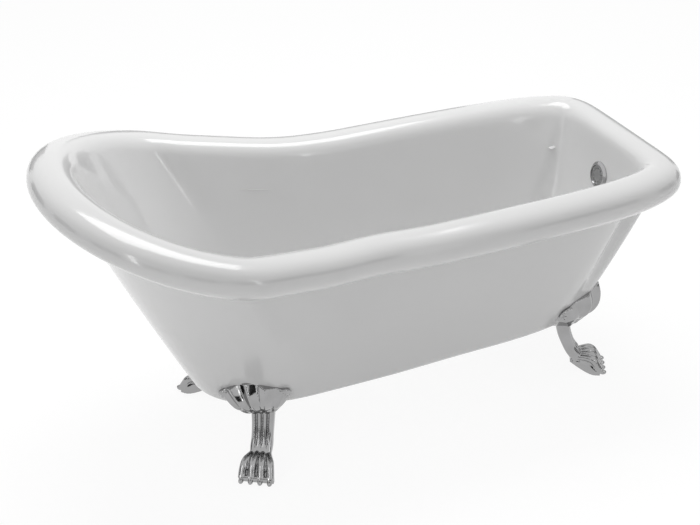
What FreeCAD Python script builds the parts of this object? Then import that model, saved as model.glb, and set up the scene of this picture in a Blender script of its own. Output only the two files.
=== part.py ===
# Single-ended slipper bath on four claw feet, as an assembly of its real pieces.
#
# Frame: +X runs from the raised head end to the foot end (waste and overflow), +Z is up, Y = 0 is the
# plane of symmetry.  The origin is on the floor under the middle of the rim's length.  Millimetres.
#
# The two skins are swept sections: every station of one walk round the bath holds a section polygon
# (lip, return, rim edge, crest, wall, floor) and each zone of the section is a parabola whose three
# control rings run smoothly round the bath, so neighbouring zones meet tangentially.  The feet are
# castings: a fluted cabriole leg, a four-toed paw and a folded leaf cut to seat on the outer skin.
import FreeCAD, Part
import math
import os
import re
import Sketcher
from FreeCAD import Placement, Rotation, Vector

doc = FreeCAD.newDocument("slipper_bath")

# ---------------------------------------------------------------------------------------- sizes ----
SIZES = {
    # rim seen from above
    "bath_length": 1550.0,
    "shoulder_width": 812.0,          # widest part of the rim, near the head
    "shoulder_reach": 362.0,          # head tip to the widest part
    "waist_run": 378.0,               # length over which the shoulder narrows
    "foot_width": 670.0,              # parallel part of the rim
    "head_roundness": 2.05,           # superellipse powers of the two ends
    "foot_squareness": 6.6,
    # rim seen from the side
    "dip_height": 609.0,
    "dip_reach": 852.0,               # head tip to the lowest point of the rim
    "head_height": 766.0,
    "foot_height": 611.0,
    "head_sweep": 1.72,               # power of the slipper curve
    # rolled rim
    "roll_outer_width": 55.0,
    "roll_inner_width": 36.6,
    "roll_inner_drop": 36.6,
    "roll_foot_trim": 7.0,            # narrower roll at the foot end
    "roll_drop": 43.5,
    "return_drop": 109.0,             # crest to the lip of the return
    "return_drop_head": 95.0,
    "return_inset": 87.0,             # rim edge to the lip of the return, along the sides
    "return_inset_foot": 46.0,
    "return_corner_extra": 46.0,      # more at the two foot-end corners
    "return_fullness": 0.62,
    # outer skin
    "base_height": 154.0,
    "base_head_reach": 436.0,
    "base_foot_reach": 611.0,
    "base_wide_station": -184.0,
    "base_width": 331.0,
    "base_head_roundness": 2.34,
    "base_foot_roundness": 3.56,
    "base_radius": 33.0,
    "skirt_bulge": 4.0,
    "skirt_wall": 4.0,
    "bead_height": 3.0,
    "bead_width": 7.0,
    "bead_proud": 1.2,
    # inner skin
    "shell_wall": 5.0,
    "well_head_inset": 38.0,
    "well_foot_inset": 46.0,
    "well_side_inset": 18.0,
    "well_radius": 75.0,
    "well_bulge": 4.0,
    "well_bulge_foot": 24.0,
    # base board
    "board_thickness": 18.0,
    "board_head_reach": 340.0,
    "board_foot_reach": 540.0,
    "board_width": 244.0,
    "board_corner": 95.0,
    # waste
    "drain_station": 430.0,
    "waste_hole_gap": 0.6,
    "waste_spigot_radius": 22.0,
    "waste_bore": 19.5,
    "waste_flange_radius": 35.0,
    "waste_flange_height": 3.0,
    "waste_mouth_radius": 23.5,
    "waste_seal_height": 1.2,
    "waste_spigot_length": 34.0,      # below the well's floor
    "waste_bar_depth": 24.0,          # well's floor to the underside of the cross bars
    "waste_bar_height": 4.0,
    "waste_bar_width": 4.0,
    "waste_hub_radius": 8.0,
    "gasket_height": 3.0,
    "waste_collar_radius": 32.0,
    "waste_collar_height": 14.0,
    "board_hole_radius": 36.0,
    "trap_bowl_radius": 29.0,
    "trap_bowl_length": 40.0,
    "trap_wall": 3.0,
    "outlet_radius": 23.0,
    "outlet_length": 20.0,
    "tail_radius": 20.0,
    "tail_wall": 2.0,
    "tail_length": 48.0,
    "tail_entry": 14.0,
    "outlet_seal_height": 2.0,
    "slip_nut_radius": 30.0,
    "slip_nut_height": 16.0,
    "slip_nut_lip": 5.0,
    "slip_nut_rib_depth": 2.0,
    "slip_nut_ribs": 8,
    "thread_gap": 0.05,
    # click plug
    "plug_radius": 29.0,
    "plug_dome": 5.0,
    "plug_edge": 2.4,
    "plug_rest_gap": 0.4,
    "plug_seal_radius": 19.0,
    "plug_seal_height": 4.0,
    "plug_stem_radius": 3.0,
    "plug_stem_length": 43.6,
    "plug_stop_radius": 4.6,
    "plug_stop_height": 2.4,
    "cartridge_radius": 5.0,
    "cartridge_length": 20.0,
    "cartridge_drop": 3.0,            # below the cross bars
    "cartridge_head_radius": 7.5,
    "cartridge_head_height": 2.0,
    # overflow, along its own axis from the well's face
    "overflow_height": 490.0,
    "overflow_radius": 35.0,
    "overflow_proud": 8.0,
    "overflow_rim": 2.0,              # cylindrical part of the cover's edge
    "overflow_lip": 26.0,
    "overflow_recess": 4.0,
    "overflow_seat": 23.0,            # opening behind the grille
    "overflow_clearance": 0.9,        # cover to the well's face
    "grille_thickness": 1.6,
    "grille_hole_radius": 2.1,
    "grille_hole_ring": 17.5,
    "grille_hole_count": 10,
    "overflow_hole_gap": 0.6,
    "overflow_spigot_radius": 17.0,
    "overflow_spigot_bore": 14.5,
    "overflow_spigot_reach": 3.4,     # past the well's face
    "overflow_nut_height": 3.0,
    "overflow_nut_radius": 22.0,
    "overflow_gasket_height": 2.5,
    "overflow_flange_radius": 28.0,
    "overflow_cup_radius": 18.0,
    "overflow_cup_depth": 20.0,
    "overflow_cup_wall": 2.0,
    "pipe_radius": 9.0,
    "pipe_wall": 1.5,
    "pipe_offset": 12.2,              # cup's mouth to the pipe's axis
    "pipe_waist_gap": 21.4,           # well's face to the pipe's axis where it turns to follow the wall
    "pipe_waist_drop": 65.0,          # overflow to that turn
    "socket_wall": 2.0,
    "socket_length": 14.0,
    "pipe_hole_gap": 5.0,
    "pipe_bend_radius": 32.0,
    "pipe_foot_inset": 20.0,          # base's foot end to the pipe where it passes the tub's bottom
    "pipe_inlet_height": 135.0,
    "pipe_nut_radius": 12.5,
    "pipe_nut_height": 8.0,
    # claw feet: where the toes stand and which way they point
    "head_toe_station": -382.0,
    "head_toe_spread": 241.0,
    "head_foot_yaw": 124.0,
    "end_toe_station": 640.0,
    "end_toe_spread": 147.0,
    "end_foot_yaw": 27.0,
    "leg_half_width": 25.0,
    "flute_depth": 4.0,
    "paw_half_width": 44.0,
    "toe_relief": 6.0,
    "claw_radius": 7.5,
    "sole_trim": 0.2,                 # ground off the paw and the claws to leave a flat sole
    "leaf_half_width": 76.0,
    "leaf_fold_depth": 7.0,
    "leaf_curl_radius": 9.0,
    "seat_gap": 0.3,
    "foot_flange_height": 8.0,
    "foot_flange_width": 62.0,
    "foot_flange_reach": 220.0,
    "screw_reach_outer": 158.0,       # toe line to the two screws of a foot
    "screw_reach_inner": 206.0,
    "screw_radius": 4.0,
    "screw_length": 24.0,
    "screw_hole_gap": 0.5,
    "screw_head_radius": 6.5,
    "screw_head_height": 8.0,
    "screw_socket_radius": 3.4,
    "screw_socket_depth": 4.0,
    "washer_radius": 8.5,
    "washer_height": 1.6,
    "insert_radius": 5.5,
    "insert_height": 14.0,
    # levellers in the soles
    "leveller_reach": 34.0,           # toe line to the leveller's axis
    "leveller_pin_radius": 5.0,
    "leveller_pin_length": 24.0,
    "leveller_pad_radius": 13.0,
    "leveller_pad_height": 6.0,
    "leveller_pad_gap": 1.0,          # above the floor while the claws carry the bath
    "leveller_recess_gap": 1.0,
    "running_gap": 0.06,
}

sheet = doc.addObject("Spreadsheet::Sheet", "sizes")
for row, (alias, value) in enumerate(SIZES.items(), start=1):
    sheet.set("A%d" % row, alias)
    sheet.set("B%d" % row, str(value))
    sheet.setAlias("B%d" % row, alias)
doc.recompute()


def size(alias):
    """Read one driving size back from the sheet."""
    return float(getattr(sheet, alias))


def value_of(expression):
    """Work an expression over the sheet's sizes out as a number."""
    result = sheet.evalExpression(expression)
    return float(getattr(result, "Value", result))


# ------------------------------------------------------------------------- the walk round the bath ----
STATIONS = 60                         # sections round the bath, an even number
HALF_WALK = 900                       # fine steps along half a plan outline


def smooth_step(s):
    s = min(max(s, 0.0), 1.0)
    return s * s * (3.0 - 2.0 * s)


def plan_outline(head_x, foot_x, wide_x, head_half, foot_half, run, head_power, foot_power):
    """Half a plan outline, head tip to foot centre on the +Y side: two superellipse ends whose
    width eases from head_half to foot_half over the run behind the widest station."""
    points = []
    for step in range(HALF_WALK + 1):
        angle = math.pi * (1.0 - step / HALF_WALK)
        c, s = math.cos(angle), math.sin(angle)
        if c < 0.0:
            x = wide_x - (wide_x - head_x) * abs(c) ** (2.0 / head_power)
            y = head_half * abs(s) ** (2.0 / head_power)
        else:
            x = wide_x + (foot_x - wide_x) * c ** (2.0 / foot_power)
            width = foot_half + (head_half - foot_half) * (1.0 - smooth_step((x - wide_x) / run))
            y = width * abs(s) ** (2.0 / foot_power)
        points.append(Vector(x, y, 0.0))
    return points


def walk(outline):
    """Closed loop of evenly spaced stations, anticlockwise seen from above, head tip first."""
    measure = [0.0]
    for before, after in zip(outline, outline[1:]):
        measure.append(measure[-1] + (after - before).Length)
    half = STATIONS // 2
    side = []
    index = 0
    for station in range(half + 1):
        target = measure[-1] * station / half
        while index < len(measure) - 2 and measure[index + 1] < target:
            index += 1
        share = (target - measure[index]) / (measure[index + 1] - measure[index])
        side.append(outline[index] + (outline[index + 1] - outline[index]) * share)
    near = [Vector(point.x, -point.y, 0.0) for point in side]
    return near + side[-2:0:-1]


def outward(loop):
    """Unit outward directions of a closed anticlockwise loop."""
    normals = []
    for i in range(len(loop)):
        along = (loop[(i + 1) % len(loop)] - loop[i]).normalize() + (loop[i] - loop[i - 1]).normalize()
        normals.append(Vector(along.y, -along.x, 0.0).normalize())
    return normals


half_length = size("bath_length") / 2.0
rim_loop = walk(plan_outline(
    -half_length, half_length, size("shoulder_reach") - half_length,
    size("shoulder_width") / 2.0, size("foot_width") / 2.0, size("waist_run"),
    size("head_roundness"), size("foot_squareness")))
rim_normals = outward(rim_loop)
around = [0.0]
for i in range(STATIONS):
    around.append(around[-1] + (rim_loop[(i + 1) % STATIONS] - rim_loop[i]).Length)


def base_walk(head_inset, foot_inset, side_inset):
    """Loop of the wall's virtual foot corner, inset from the outer skin's own."""
    half = size("base_width") / 2.0 - side_inset
    return walk(plan_outline(
        -size("base_head_reach") + head_inset, size("base_foot_reach") - foot_inset,
        size("base_wide_station"), half, half, size("waist_run"),
        size("base_head_roundness"), size("base_foot_roundness")))


skirt_base = base_walk(0.0, 0.0, 0.0)
well_base = base_walk(size("well_head_inset"), size("well_foot_inset"), size("well_side_inset"))
board_top = size("base_height") + size("skirt_wall") + size("board_thickness")
floor_height = board_top + size("shell_wall")


def crest_height(x):
    """Height of the rim's crest: the slipper curve towards the head, a slight rise to the foot."""
    dip_x = size("dip_reach") - half_length
    head_share = max(dip_x - x, 0.0) / (dip_x + half_length)
    foot_share = (x - dip_x) / (half_length - dip_x)
    rise = (size("head_height") - size("dip_height")) * min(head_share, 1.0) ** size("head_sweep")
    return size("dip_height") + rise + (size("foot_height") - size("dip_height")) * smooth_step(foot_share)


class Station:
    """One section of the bath: the rim's edge, crest, seam and wall feet at one place on the walk."""

    def __init__(self, i):
        self.normal = rim_normals[i]
        self.edge = rim_loop[i] + Vector(0.0, 0.0, crest_height(rim_loop[i].x))
        headward = max(-self.normal.x, 0.0) ** 2
        footward = max(self.normal.x, 0.0) ** 2
        self.end_wall = footward ** 3
        corner = (2.0 * self.normal.x * self.normal.y) ** 2 if self.normal.x > 0.0 else 0.0
        self.drop = size("return_drop") + (size("return_drop_head") - size("return_drop")) * headward
        self.inset = (size("return_inset") + (size("return_inset_foot") - size("return_inset")) * footward
                      + size("return_corner_extra") * corner)
        self.bulge = size("well_bulge") + (size("well_bulge_foot") - size("well_bulge")) * self.end_wall
        self.skirt_foot = skirt_base[i] + Vector(0.0, 0.0, size("base_height"))
        self.well_foot = well_base[i] + Vector(0.0, 0.0, floor_height)

    def place(self, out, down):
        """Point at a distance outward from the rim's edge and below its crest."""
        return self.edge + self.normal * out - Vector(0.0, 0.0, down)


stations = [Station(i) for i in range(STATIONS)]


def wall_polygon(start, foot, bulge, radius):
    """Section of a wall from start down to the floor: a bulge vertex, the fillet's upper tangent
    point, the floor corner and the fillet's lower tangent point."""
    run = start - foot
    level = Vector(run.x, run.y, 0.0).normalize()
    lean = math.atan2(run.z, math.hypot(run.x, run.y))
    out = level * math.sin(lean) - Vector(0.0, 0.0, math.cos(lean))
    vertex = foot + run * 0.5 + out * (2.0 * bulge)
    rise = vertex - foot
    slope = math.atan2(rise.z, math.hypot(rise.x, rise.y))
    tangent = radius * math.tan(slope / 2.0)
    upper = foot + rise * (tangent / rise.Length)
    lower = foot - level * tangent
    return vertex, upper, foot, lower


def rings_of(columns):
    return [list(ring) for ring in zip(*columns)]


def ring_offset(rings, distance):
    """Rings moved along the skin's normal.  A ring between two straight runs of the section moves to
    where the two offset runs meet."""
    count = len(rings[0])
    moved = []
    for j, ring in enumerate(rings):
        new_ring = []
        for i, point in enumerate(ring):
            along = ring[(i + 1) % count] - ring[i - 1]
            runs = []
            if j > 0:
                runs.append(rings[j - 1][i] - point)
            if j < len(rings) - 1:
                runs.append(point - rings[j + 1][i])
            normals = [along.cross(run).normalize() for run in runs]
            if len(normals) == 1:
                new_ring.append(point + normals[0] * distance)
            else:
                total = normals[0] + normals[1]
                new_ring.append(point + total * (distance / (1.0 + normals[0].dot(normals[1]))))
        moved.append(new_ring)
    return moved


def patch(rings):
    """One face whose control rings are smooth closed curves: two rings rule it, three make every
    section a parabola."""
    loops = []
    for ring in rings:
        curve = Part.BSplineCurve()
        curve.interpolate(Points=ring, PeriodicFlag=True, Parameters=around)
        loops.append(curve)
    degree = len(rings) - 1
    surface = Part.BSplineSurface()
    surface.buildFromPolesMultsKnots(
        [list(poles) for poles in zip(*(loop.getPoles() for loop in loops))],
        loops[0].getMultiplicities(), [degree + 1, degree + 1], loops[0].getKnots(), [0.0, 1.0],
        True, False, loops[0].Degree, degree)
    return surface.toShape()


def stretch(zone, start, end):
    """Control rings of the stretch of a zone's parabola between two shares of it."""
    shares = ((start, start), (start, end), (end, end))
    weights = [((1 - s) * (1 - t), s + t - 2 * s * t, s * t) for s, t in shares]
    return [[a * wa + b * wb + c * wc for a, b, c in zip(*zone)] for wa, wb, wc in weights]


def swept_faces(rings, cuts):
    """Faces of a section given as rings, where every second ring is a tangent point between zones.
    Each zone's cuts say how many faces it has, and whether they are chords of the parabola."""
    faces = []
    for zone, (count, chords) in enumerate(cuts):
        for k in range(count):
            controls = stretch(rings[2 * zone:2 * zone + 3], k / count, (k + 1) / count)
            faces.append(patch(controls[::2] if chords else controls))
    return faces


def level_disc(face, height):
    """Flat face inside the closed level edge of a swept face."""
    for edge in face.Edges:
        box = edge.BoundBox
        if edge.isClosed() and box.ZLength < 0.01 and abs(box.ZMin - height) < 0.01:
            return Part.Face(Part.Wire([edge]))
    raise ValueError("no level edge at %.2f" % height)


def sewn_solid(faces):
    shell = Part.makeShell(faces)
    shell.sewShape()
    solid = Part.makeSolid(Part.Shell(shell.Faces))
    if solid.Volume < 0.0:
        solid.reverse()
    return solid


def level_lip(rings, back_rings, wall):
    """Cut the lip level: the back's first ring moves in along the rim's normal to the lip's height."""
    for i, station in enumerate(stations):
        run = rings[0][i] - rings[1][i]
        slope = math.atan2(abs(run.z), math.hypot(run.x, run.y))
        back_rings[0][i] = rings[0][i] - station.normal * (wall / math.sin(slope))


def skin_solid(rings, offset, cuts, back_cuts, floor, floor_back):
    """A sheet of one thickness between a swept face and its offset, with a level lip and floor."""
    back_rings = ring_offset(rings, offset)
    level_lip(rings, back_rings, abs(offset))
    front, back = swept_faces(rings, cuts), swept_faces(back_rings, back_cuts)
    ends = [patch([rings[0], back_rings[0]]), level_disc(front[-1], floor), level_disc(back[-1], floor_back)]
    return sewn_solid(front + back + ends)


def feature(label, shape, placement=None):
    """A sub-part whose shape comes straight from surface work."""
    item = doc.addObject("Part::Feature", label)
    item.Label = label
    item.Shape = shape
    if placement is not None:
        item.Placement = placement
    return item


# ------------------------------------------------------------------------------------ inner skin ----
# faces per zone (return, outer roll, inner roll, wall, floor radius), and whether they are chords
WELL_CUTS = ((5, True), (8, False), (6, False), (1, False), (7, False))
WELL_BACK_CUTS = ((3, True), (3, True), (2, True), (1, False), (4, True))
SKIRT_CUTS = ((1, False), (5, False))
SKIRT_BACK_CUTS = ((2, True), (3, True))


def inner_section(station):
    """Section of the well's face: lip, return, rim edge, roll, crest, roll, wall, floor."""
    outer, drop = size("roll_outer_width"), size("roll_drop")
    inner = size("roll_inner_width") - size("roll_foot_trim") * station.end_wall
    full = drop + size("return_fullness") * (station.drop - drop)
    corner = station.place(-outer - inner, 0.0)
    vertex, upper, foot, lower = wall_polygon(corner, station.well_foot, station.bulge, size("well_radius"))
    fall = vertex - corner
    top = corner + fall * (size("roll_inner_drop") / abs(fall.z))
    return [station.place(-station.inset, station.drop), station.place(0.0, full), station.place(0.0, drop),
            station.place(0.0, 0.0), station.place(-outer, 0.0), corner, top, vertex, upper, foot, lower]


def inner_shell_solid():
    """The acrylic sheet of the well and its rolled rim, open underneath the roll."""
    rings = rings_of([inner_section(station) for station in stations])
    wall = size("shell_wall")
    return skin_solid(rings, wall, WELL_CUTS, WELL_BACK_CUTS, floor_height, floor_height - wall)


# ------------------------------------------------------------------------------------ outer skin ----
def seam_point(station, out, down):
    """A point beside the lip of the return."""
    return station.place(-station.inset + out, station.drop + down)


def skirt_rings(gap):
    """Outer face of the skirt from its top edge to its floor; the gap moves its walls outward."""
    columns = []
    for station in stations:
        top = seam_point(station, -size("bead_proud"), size("bead_height"))
        columns.append([top, *wall_polygon(top, station.skirt_foot, size("skirt_bulge"), size("base_radius"))])
    rings = rings_of(columns)
    if gap:
        for ring, moved in zip(rings, ring_offset(rings, gap)):
            for i, point in enumerate(moved):
                ring[i] = Vector(point.x, point.y, ring[i].z)
    return rings


def outer_skirt_solid():
    wall = size("skirt_wall")
    floor = size("base_height")
    return skin_solid(skirt_rings(0.0), -wall, SKIRT_CUTS, SKIRT_BACK_CUTS, floor, floor + wall)


def seat_cutter_solid():
    """Everything inside the outer skin's face, grown by the seat gap: what a foot may not enter."""
    rings = skirt_rings(size("seat_gap"))
    faces = swept_faces(rings, SKIRT_CUTS)
    crown = [Vector(point.x, point.y, size("head_height")) for point in rings[0]]
    side = patch([rings[0], crown])
    ends = [side, level_disc(side, size("head_height")), level_disc(faces[-1], size("base_height"))]
    return sewn_solid(faces + ends)


def seam_bead_solid():
    """Sealant run between the lip of the return and the skirt's top edge, proud of the skirt."""
    section = ((0.0, 0.0), (0.0, size("bead_height")), (-size("bead_width"), size("bead_height")),
               (-size("bead_width"), 0.0))
    corners = [[seam_point(station, out, down) for station in stations] for out, down in section]
    return sewn_solid([patch([corners[k - 1], corners[k]]) for k in range(4)])


# ------------------------------------------------------------------------- sketches and features ----
def over_sheet(expression):
    """The same expression written for an object outside the sheet."""
    return re.sub(r"[a-z][a-z_]*", lambda word: "sizes." * (word[0] in SIZES) + word[0], expression)


def bind(item, **properties):
    """Tie properties to expressions; a double underscore in a name stands for a point."""
    for name, expression in properties.items():
        item.setExpression(name.replace("__", "."), over_sheet(expression))


def pin(sketch, geometry, corner, across, up):
    """Fix a point of a sketch at two expressions measured from its origin."""
    for kind, expression, axis in (("DistanceX", across, -2), ("DistanceY", up, -1)):
        distance = value_of(expression)
        if abs(distance) < 1e-9:
            sketch.addConstraint(Sketcher.Constraint("PointOnObject", geometry, corner, axis))
        elif distance > 0.0:
            index = sketch.addConstraint(Sketcher.Constraint(kind, -1, 1, geometry, corner, distance))
            sketch.setExpression("Constraints[%d]" % index, over_sheet(expression))
        else:
            index = sketch.addConstraint(Sketcher.Constraint(kind, geometry, corner, -1, 1, -distance))
            sketch.setExpression("Constraints[%d]" % index, over_sheet("-(%s)" % expression))


def sketch_on(body, plane, points=(), circles=()):
    """Sketch on an origin plane: a closed outline of straight lines and circles (across, up, radius).
    A corner with a third value starts an arc round a centre that far across."""
    sketch = body.newObject("Sketcher::SketchObject", body.Name + "_sketch")
    origin_plane = next(item for item in body.Origin.OriginFeatures if item.Role == plane)
    sketch.AttachmentSupport = [(origin_plane, "")]
    sketch.MapMode = "FlatFace"
    places = [Vector(value_of(point[0]), value_of(point[1]), 0.0) for point in points]
    ends = []
    for k, (start, point) in enumerate(zip(places, points)):
        end = places[(k + 1) % len(places)]
        if len(point) == 2:
            sketch.addGeometry(Part.LineSegment(start, end))
            ends.append((1, 2))
            continue
        across = value_of(point[2])
        middle = (start + end) * 0.5
        chord = end - start
        centre = Vector(across, middle.y - chord.x * (across - middle.x) / chord.y, 0.0)
        radius = (start - centre).Length
        low, high = [math.atan2(place.y - centre.y, place.x - centre.x) for place in (start, end)]
        flip = math.sin(high - low) < 0.0
        if flip:
            low, high = high, low
        sketch.addGeometry(Part.ArcOfCircle(Part.Circle(centre, Vector(0, 0, 1), radius), low, high))
        ends.append((2, 1) if flip else (1, 2))
    for k in range(len(points)):
        after = (k + 1) % len(points)
        sketch.addConstraint(Sketcher.Constraint("Coincident", k, ends[k][1], after, ends[after][0]))
        pin(sketch, k, ends[k][0], points[k][0], points[k][1])
        if len(points[k]) == 3:
            distance = value_of(points[k][2])
            if abs(distance) < 1e-9:
                sketch.addConstraint(Sketcher.Constraint("PointOnObject", k, 3, -2))
            else:
                index = sketch.addConstraint(Sketcher.Constraint("DistanceX", -1, 1, k, 3, distance))
                sketch.setExpression("Constraints[%d]" % index, over_sheet(points[k][2]))
    for across, up, radius in circles:
        place = Vector(value_of(across), value_of(up), 0.0)
        round_one = sketch.addGeometry(Part.Circle(place, Vector(0, 0, 1), value_of(radius)))
        pin(sketch, round_one, 3, across, up)
        index = sketch.addConstraint(Sketcher.Constraint("Radius", round_one, value_of(radius)))
        sketch.setExpression("Constraints[%d]" % index, over_sheet(radius))
    return sketch


def new_body(label):
    body = doc.addObject("PartDesign::Body", label)
    body.Label = label
    return body


def revolved(label, points, kind="PartDesign::Revolution", body=None):
    """Body turned from a profile of (radius, height) corners round its own Z."""
    body = body or new_body(label)
    turned = body.newObject(kind, label + "_turned")
    turned.Profile = sketch_on(body, "XZ_Plane", points)
    turned.ReferenceAxis = (turned.Profile[0], ["V_Axis"])
    turned.Angle = 360.0
    return body


def padded(body, plane, height, points=(), circles=(), reverse=False):
    pad = body.newObject("PartDesign::Pad", body.Name + "_pad")
    pad.Profile = sketch_on(body, plane, points, circles)
    pad.Reversed = reverse
    bind(pad, Length=height)
    return pad


def pocketed(body, plane, depth=None, points=(), circles=(), reverse=False):
    """Pocket cut to a depth, or right through both ways where no depth is given."""
    pocket = body.newObject("PartDesign::Pocket", body.Name + "_pocket")
    pocket.Profile = sketch_on(body, plane, points, circles)
    pocket.Reversed = reverse
    if depth is None:
        pocket.Type = "ThroughAll"
        pocket.Midplane = True
    else:
        bind(pocket, Length=depth)
    return pocket


def repeated(body, cut, count):
    """Repeat a cut evenly round the body's own Z."""
    pattern = body.newObject("PartDesign::PolarPattern", body.Name + "_pattern")
    pattern.Originals = [cut]
    pattern.Axis = (cut.Profile[0], ["N_Axis"])
    pattern.Angle = 360.0
    bind(pattern, Occurrences=count)
    body.Tip = pattern
    return pattern


def ring_profile(inner, outer, low, high):
    return [(inner, low), (outer, low), (outer, high), (inner, high)]


def stand(item, x="0", y="0", z="0"):
    """Place a sub-part by expressions, upright."""
    bind(item, Placement__Base__x=x, Placement__Base__y=y, Placement__Base__z=z)
    return item


def cut_by(label, base, tools):
    """Sub-part left when the tools are cut from a base shape."""
    cut = doc.addObject("Part::Cut", label)
    cut.Label = label
    cut.Base = base
    if len(tools) == 1:
        cut.Tool = tools[0]
    else:
        cut.Tool = doc.addObject("Part::MultiFuse", label + "_tools")
        cut.Tool.Shapes = tools
    return cut


def drill(name, radius, length, x, y, z):
    """Upright cylinder used as a cutter."""
    tool = doc.addObject("Part::Cylinder", name)
    bind(tool, Radius=radius, Height=length)
    return stand(tool, x, y, z)


# ------------------------------------------------------------------------------- heights and feet ----
BOARD_LOW = "base_height + skirt_wall"
BOARD_TOP = BOARD_LOW + " + board_thickness"
FLOOR = BOARD_TOP + " + shell_wall"
SCREW_BORE = "screw_radius + screw_hole_gap"

# foot name: end, side
FEET = {
    "head_left": ("head", 1),
    "head_right": ("head", -1),
    "end_left": ("end", 1),
    "end_right": ("end", -1),
}


def along_foot(foot, reach):
    """Expressions for a place behind a foot's toes, along the way that it points."""
    end, side = FEET[foot]
    x = "{0}_toe_station - ({1}) * cos({0}_foot_yaw)".format(end, reach)
    y = "{2} * ({0}_toe_spread - ({1}) * sin({0}_foot_yaw))".format(end, reach, side)
    return x, y


SCREWS = [(foot, reach) for foot in FEET for reach in ("screw_reach_outer", "screw_reach_inner")]


# ------------------------------------------------------------------------------------- the shells ----
def end_wall_at(height):
    """Point of the well's foot-end wall at a height, and the wall's lean there."""
    section = inner_section(stations[STATIONS // 2])
    start, control, end = section[6:9]
    low, high = 0.0, 1.0
    for _ in range(40):
        share = 0.5 * (low + high)
        point = start * (1 - share) ** 2 + control * (2 * share * (1 - share)) + end * share ** 2
        if point.z > height:
            low = share
        else:
            high = share
    along = (control - start) * (1 - share) + (end - control) * share
    return point, math.degrees(math.atan2(abs(along.x), abs(along.z)))


overflow_point, overflow_lean = end_wall_at(size("overflow_height"))
OVERFLOW_PLACEMENT = Placement(overflow_point, Rotation(Vector(0, 1, 0), overflow_lean - 90.0))


def make_inner_shell():
    """Well and rolled rim, with the waste and overflow holes."""
    sheet_solid = feature("well_sheet", inner_shell_solid())
    waste = drill("well_waste_drill", "waste_spigot_radius + waste_hole_gap", "3 * shell_wall",
                  "drain_station", "0", BOARD_TOP + " - shell_wall")
    overflow = doc.addObject("Part::Cylinder", "well_overflow_drill")
    bind(overflow, Radius="overflow_spigot_radius + overflow_hole_gap", Height="4 * shell_wall")
    overflow.Placement = OVERFLOW_PLACEMENT.multiply(Placement(Vector(0, 0, -2 * size("shell_wall")),
                                                               Rotation()))
    return cut_by("inner_shell", sheet_solid, [waste, overflow])


def make_outer_skirt():
    """Outer skin, with the holes in its floor for the waste, the overflow pipe and the screws."""
    low = "base_height - skirt_wall"
    tools = [drill("skirt_waste_drill", "board_hole_radius", "4 * skirt_wall", "drain_station", "0", low),
             drill("skirt_pipe_drill", "pipe_radius + pipe_hole_gap", "4 * skirt_wall",
                   "base_foot_reach - pipe_foot_inset", "0", low)]
    for k, (foot, reach) in enumerate(SCREWS, start=1):
        x, y = along_foot(foot, reach)
        tools.append(drill("skirt_screw_drill_%d" % k, SCREW_BORE, "4 * skirt_wall", x, y, low))
    return cut_by("outer_skirt", feature("skirt_sheet", outer_skirt_solid()), tools)


def make_seam_bead():
    return feature("seam_bead", seam_bead_solid())


def make_base_board():
    """Board bonded under the well, with rounded corners, the waste hole and the insert holes."""
    body = new_body("base_board")
    half, corner = "board_width / 2", "board_corner"
    left, right = "-board_head_reach", "board_foot_reach"
    padded(body, "XY_Plane", "board_thickness", [
        (left + " + " + corner, "-" + half), (right + " - " + corner, "-" + half, right + " - " + corner),
        (right, corner + " - " + half), (right, half + " - " + corner, right + " - " + corner),
        (right + " - " + corner, half), (left + " + " + corner, half, left + " + " + corner),
        (left, half + " - " + corner), (left, corner + " - " + half, left + " + " + corner)])
    pocketed(body, "XY_Plane", circles=[("drain_station", "0", "board_hole_radius")])
    holes = [(*along_foot(foot, reach), "insert_radius + thread_gap") for foot, reach in SCREWS]
    pocketed(body, "XY_Plane", "insert_height", circles=holes, reverse=True)
    return stand(body, z=BOARD_LOW)


# --------------------------------------------------------------------------------------- the waste ----
def at_drain(body, z):
    return stand(body, "drain_station", "0", z)


def make_drain_flange():
    """Chrome flange with a dished mouth, its spigot and the cross bars that carry the cartridge."""
    top = "waste_bar_depth + waste_seal_height + waste_flange_height"
    body = revolved("drain_flange", [
        ("waste_bore", "waste_bar_depth - waste_spigot_length"),
        ("waste_spigot_radius", "waste_bar_depth - waste_spigot_length"),
        ("waste_spigot_radius", "waste_bar_depth + waste_seal_height"),
        ("waste_flange_radius", "waste_bar_depth + waste_seal_height"),
        ("waste_flange_radius", "waste_bar_depth + waste_seal_height + waste_flange_height / 3"),
        ("waste_flange_radius - waste_flange_height", top),
        ("waste_mouth_radius", top),
        ("waste_bore", "waste_bar_depth + waste_seal_height")])
    bar, reach = "waste_bar_width / 2", "(waste_bore + waste_spigot_radius) / 2"
    padded(body, "XY_Plane", "waste_bar_height",
           [("-(%s)" % reach, "-" + bar), (reach, "-" + bar), (reach, bar), ("-(%s)" % reach, bar)])
    padded(body, "XY_Plane", "waste_bar_height",
           [("-" + bar, "-(%s)" % reach), (bar, "-(%s)" % reach), (bar, reach), ("-" + bar, reach)])
    padded(body, "XY_Plane", "waste_bar_height", circles=[("0", "0", "waste_hub_radius")])
    pocketed(body, "XY_Plane", circles=[("0", "0", "cartridge_radius + thread_gap")])
    return at_drain(body, FLOOR + " - waste_bar_depth")


def make_drain_flange_seal():
    profile = ring_profile("waste_spigot_radius + thread_gap", "waste_flange_radius - waste_seal_height",
                           "0", "waste_seal_height")
    return at_drain(revolved("drain_flange_seal", profile), FLOOR)


def make_drain_gasket():
    profile = ring_profile("waste_spigot_radius + thread_gap", "waste_collar_radius", "0", "gasket_height")
    return at_drain(revolved("drain_gasket", profile), BOARD_TOP + " - gasket_height")


OUTLET_LOW = BOARD_TOP + " - gasket_height - waste_collar_height - trap_bowl_length - outlet_length"


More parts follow.
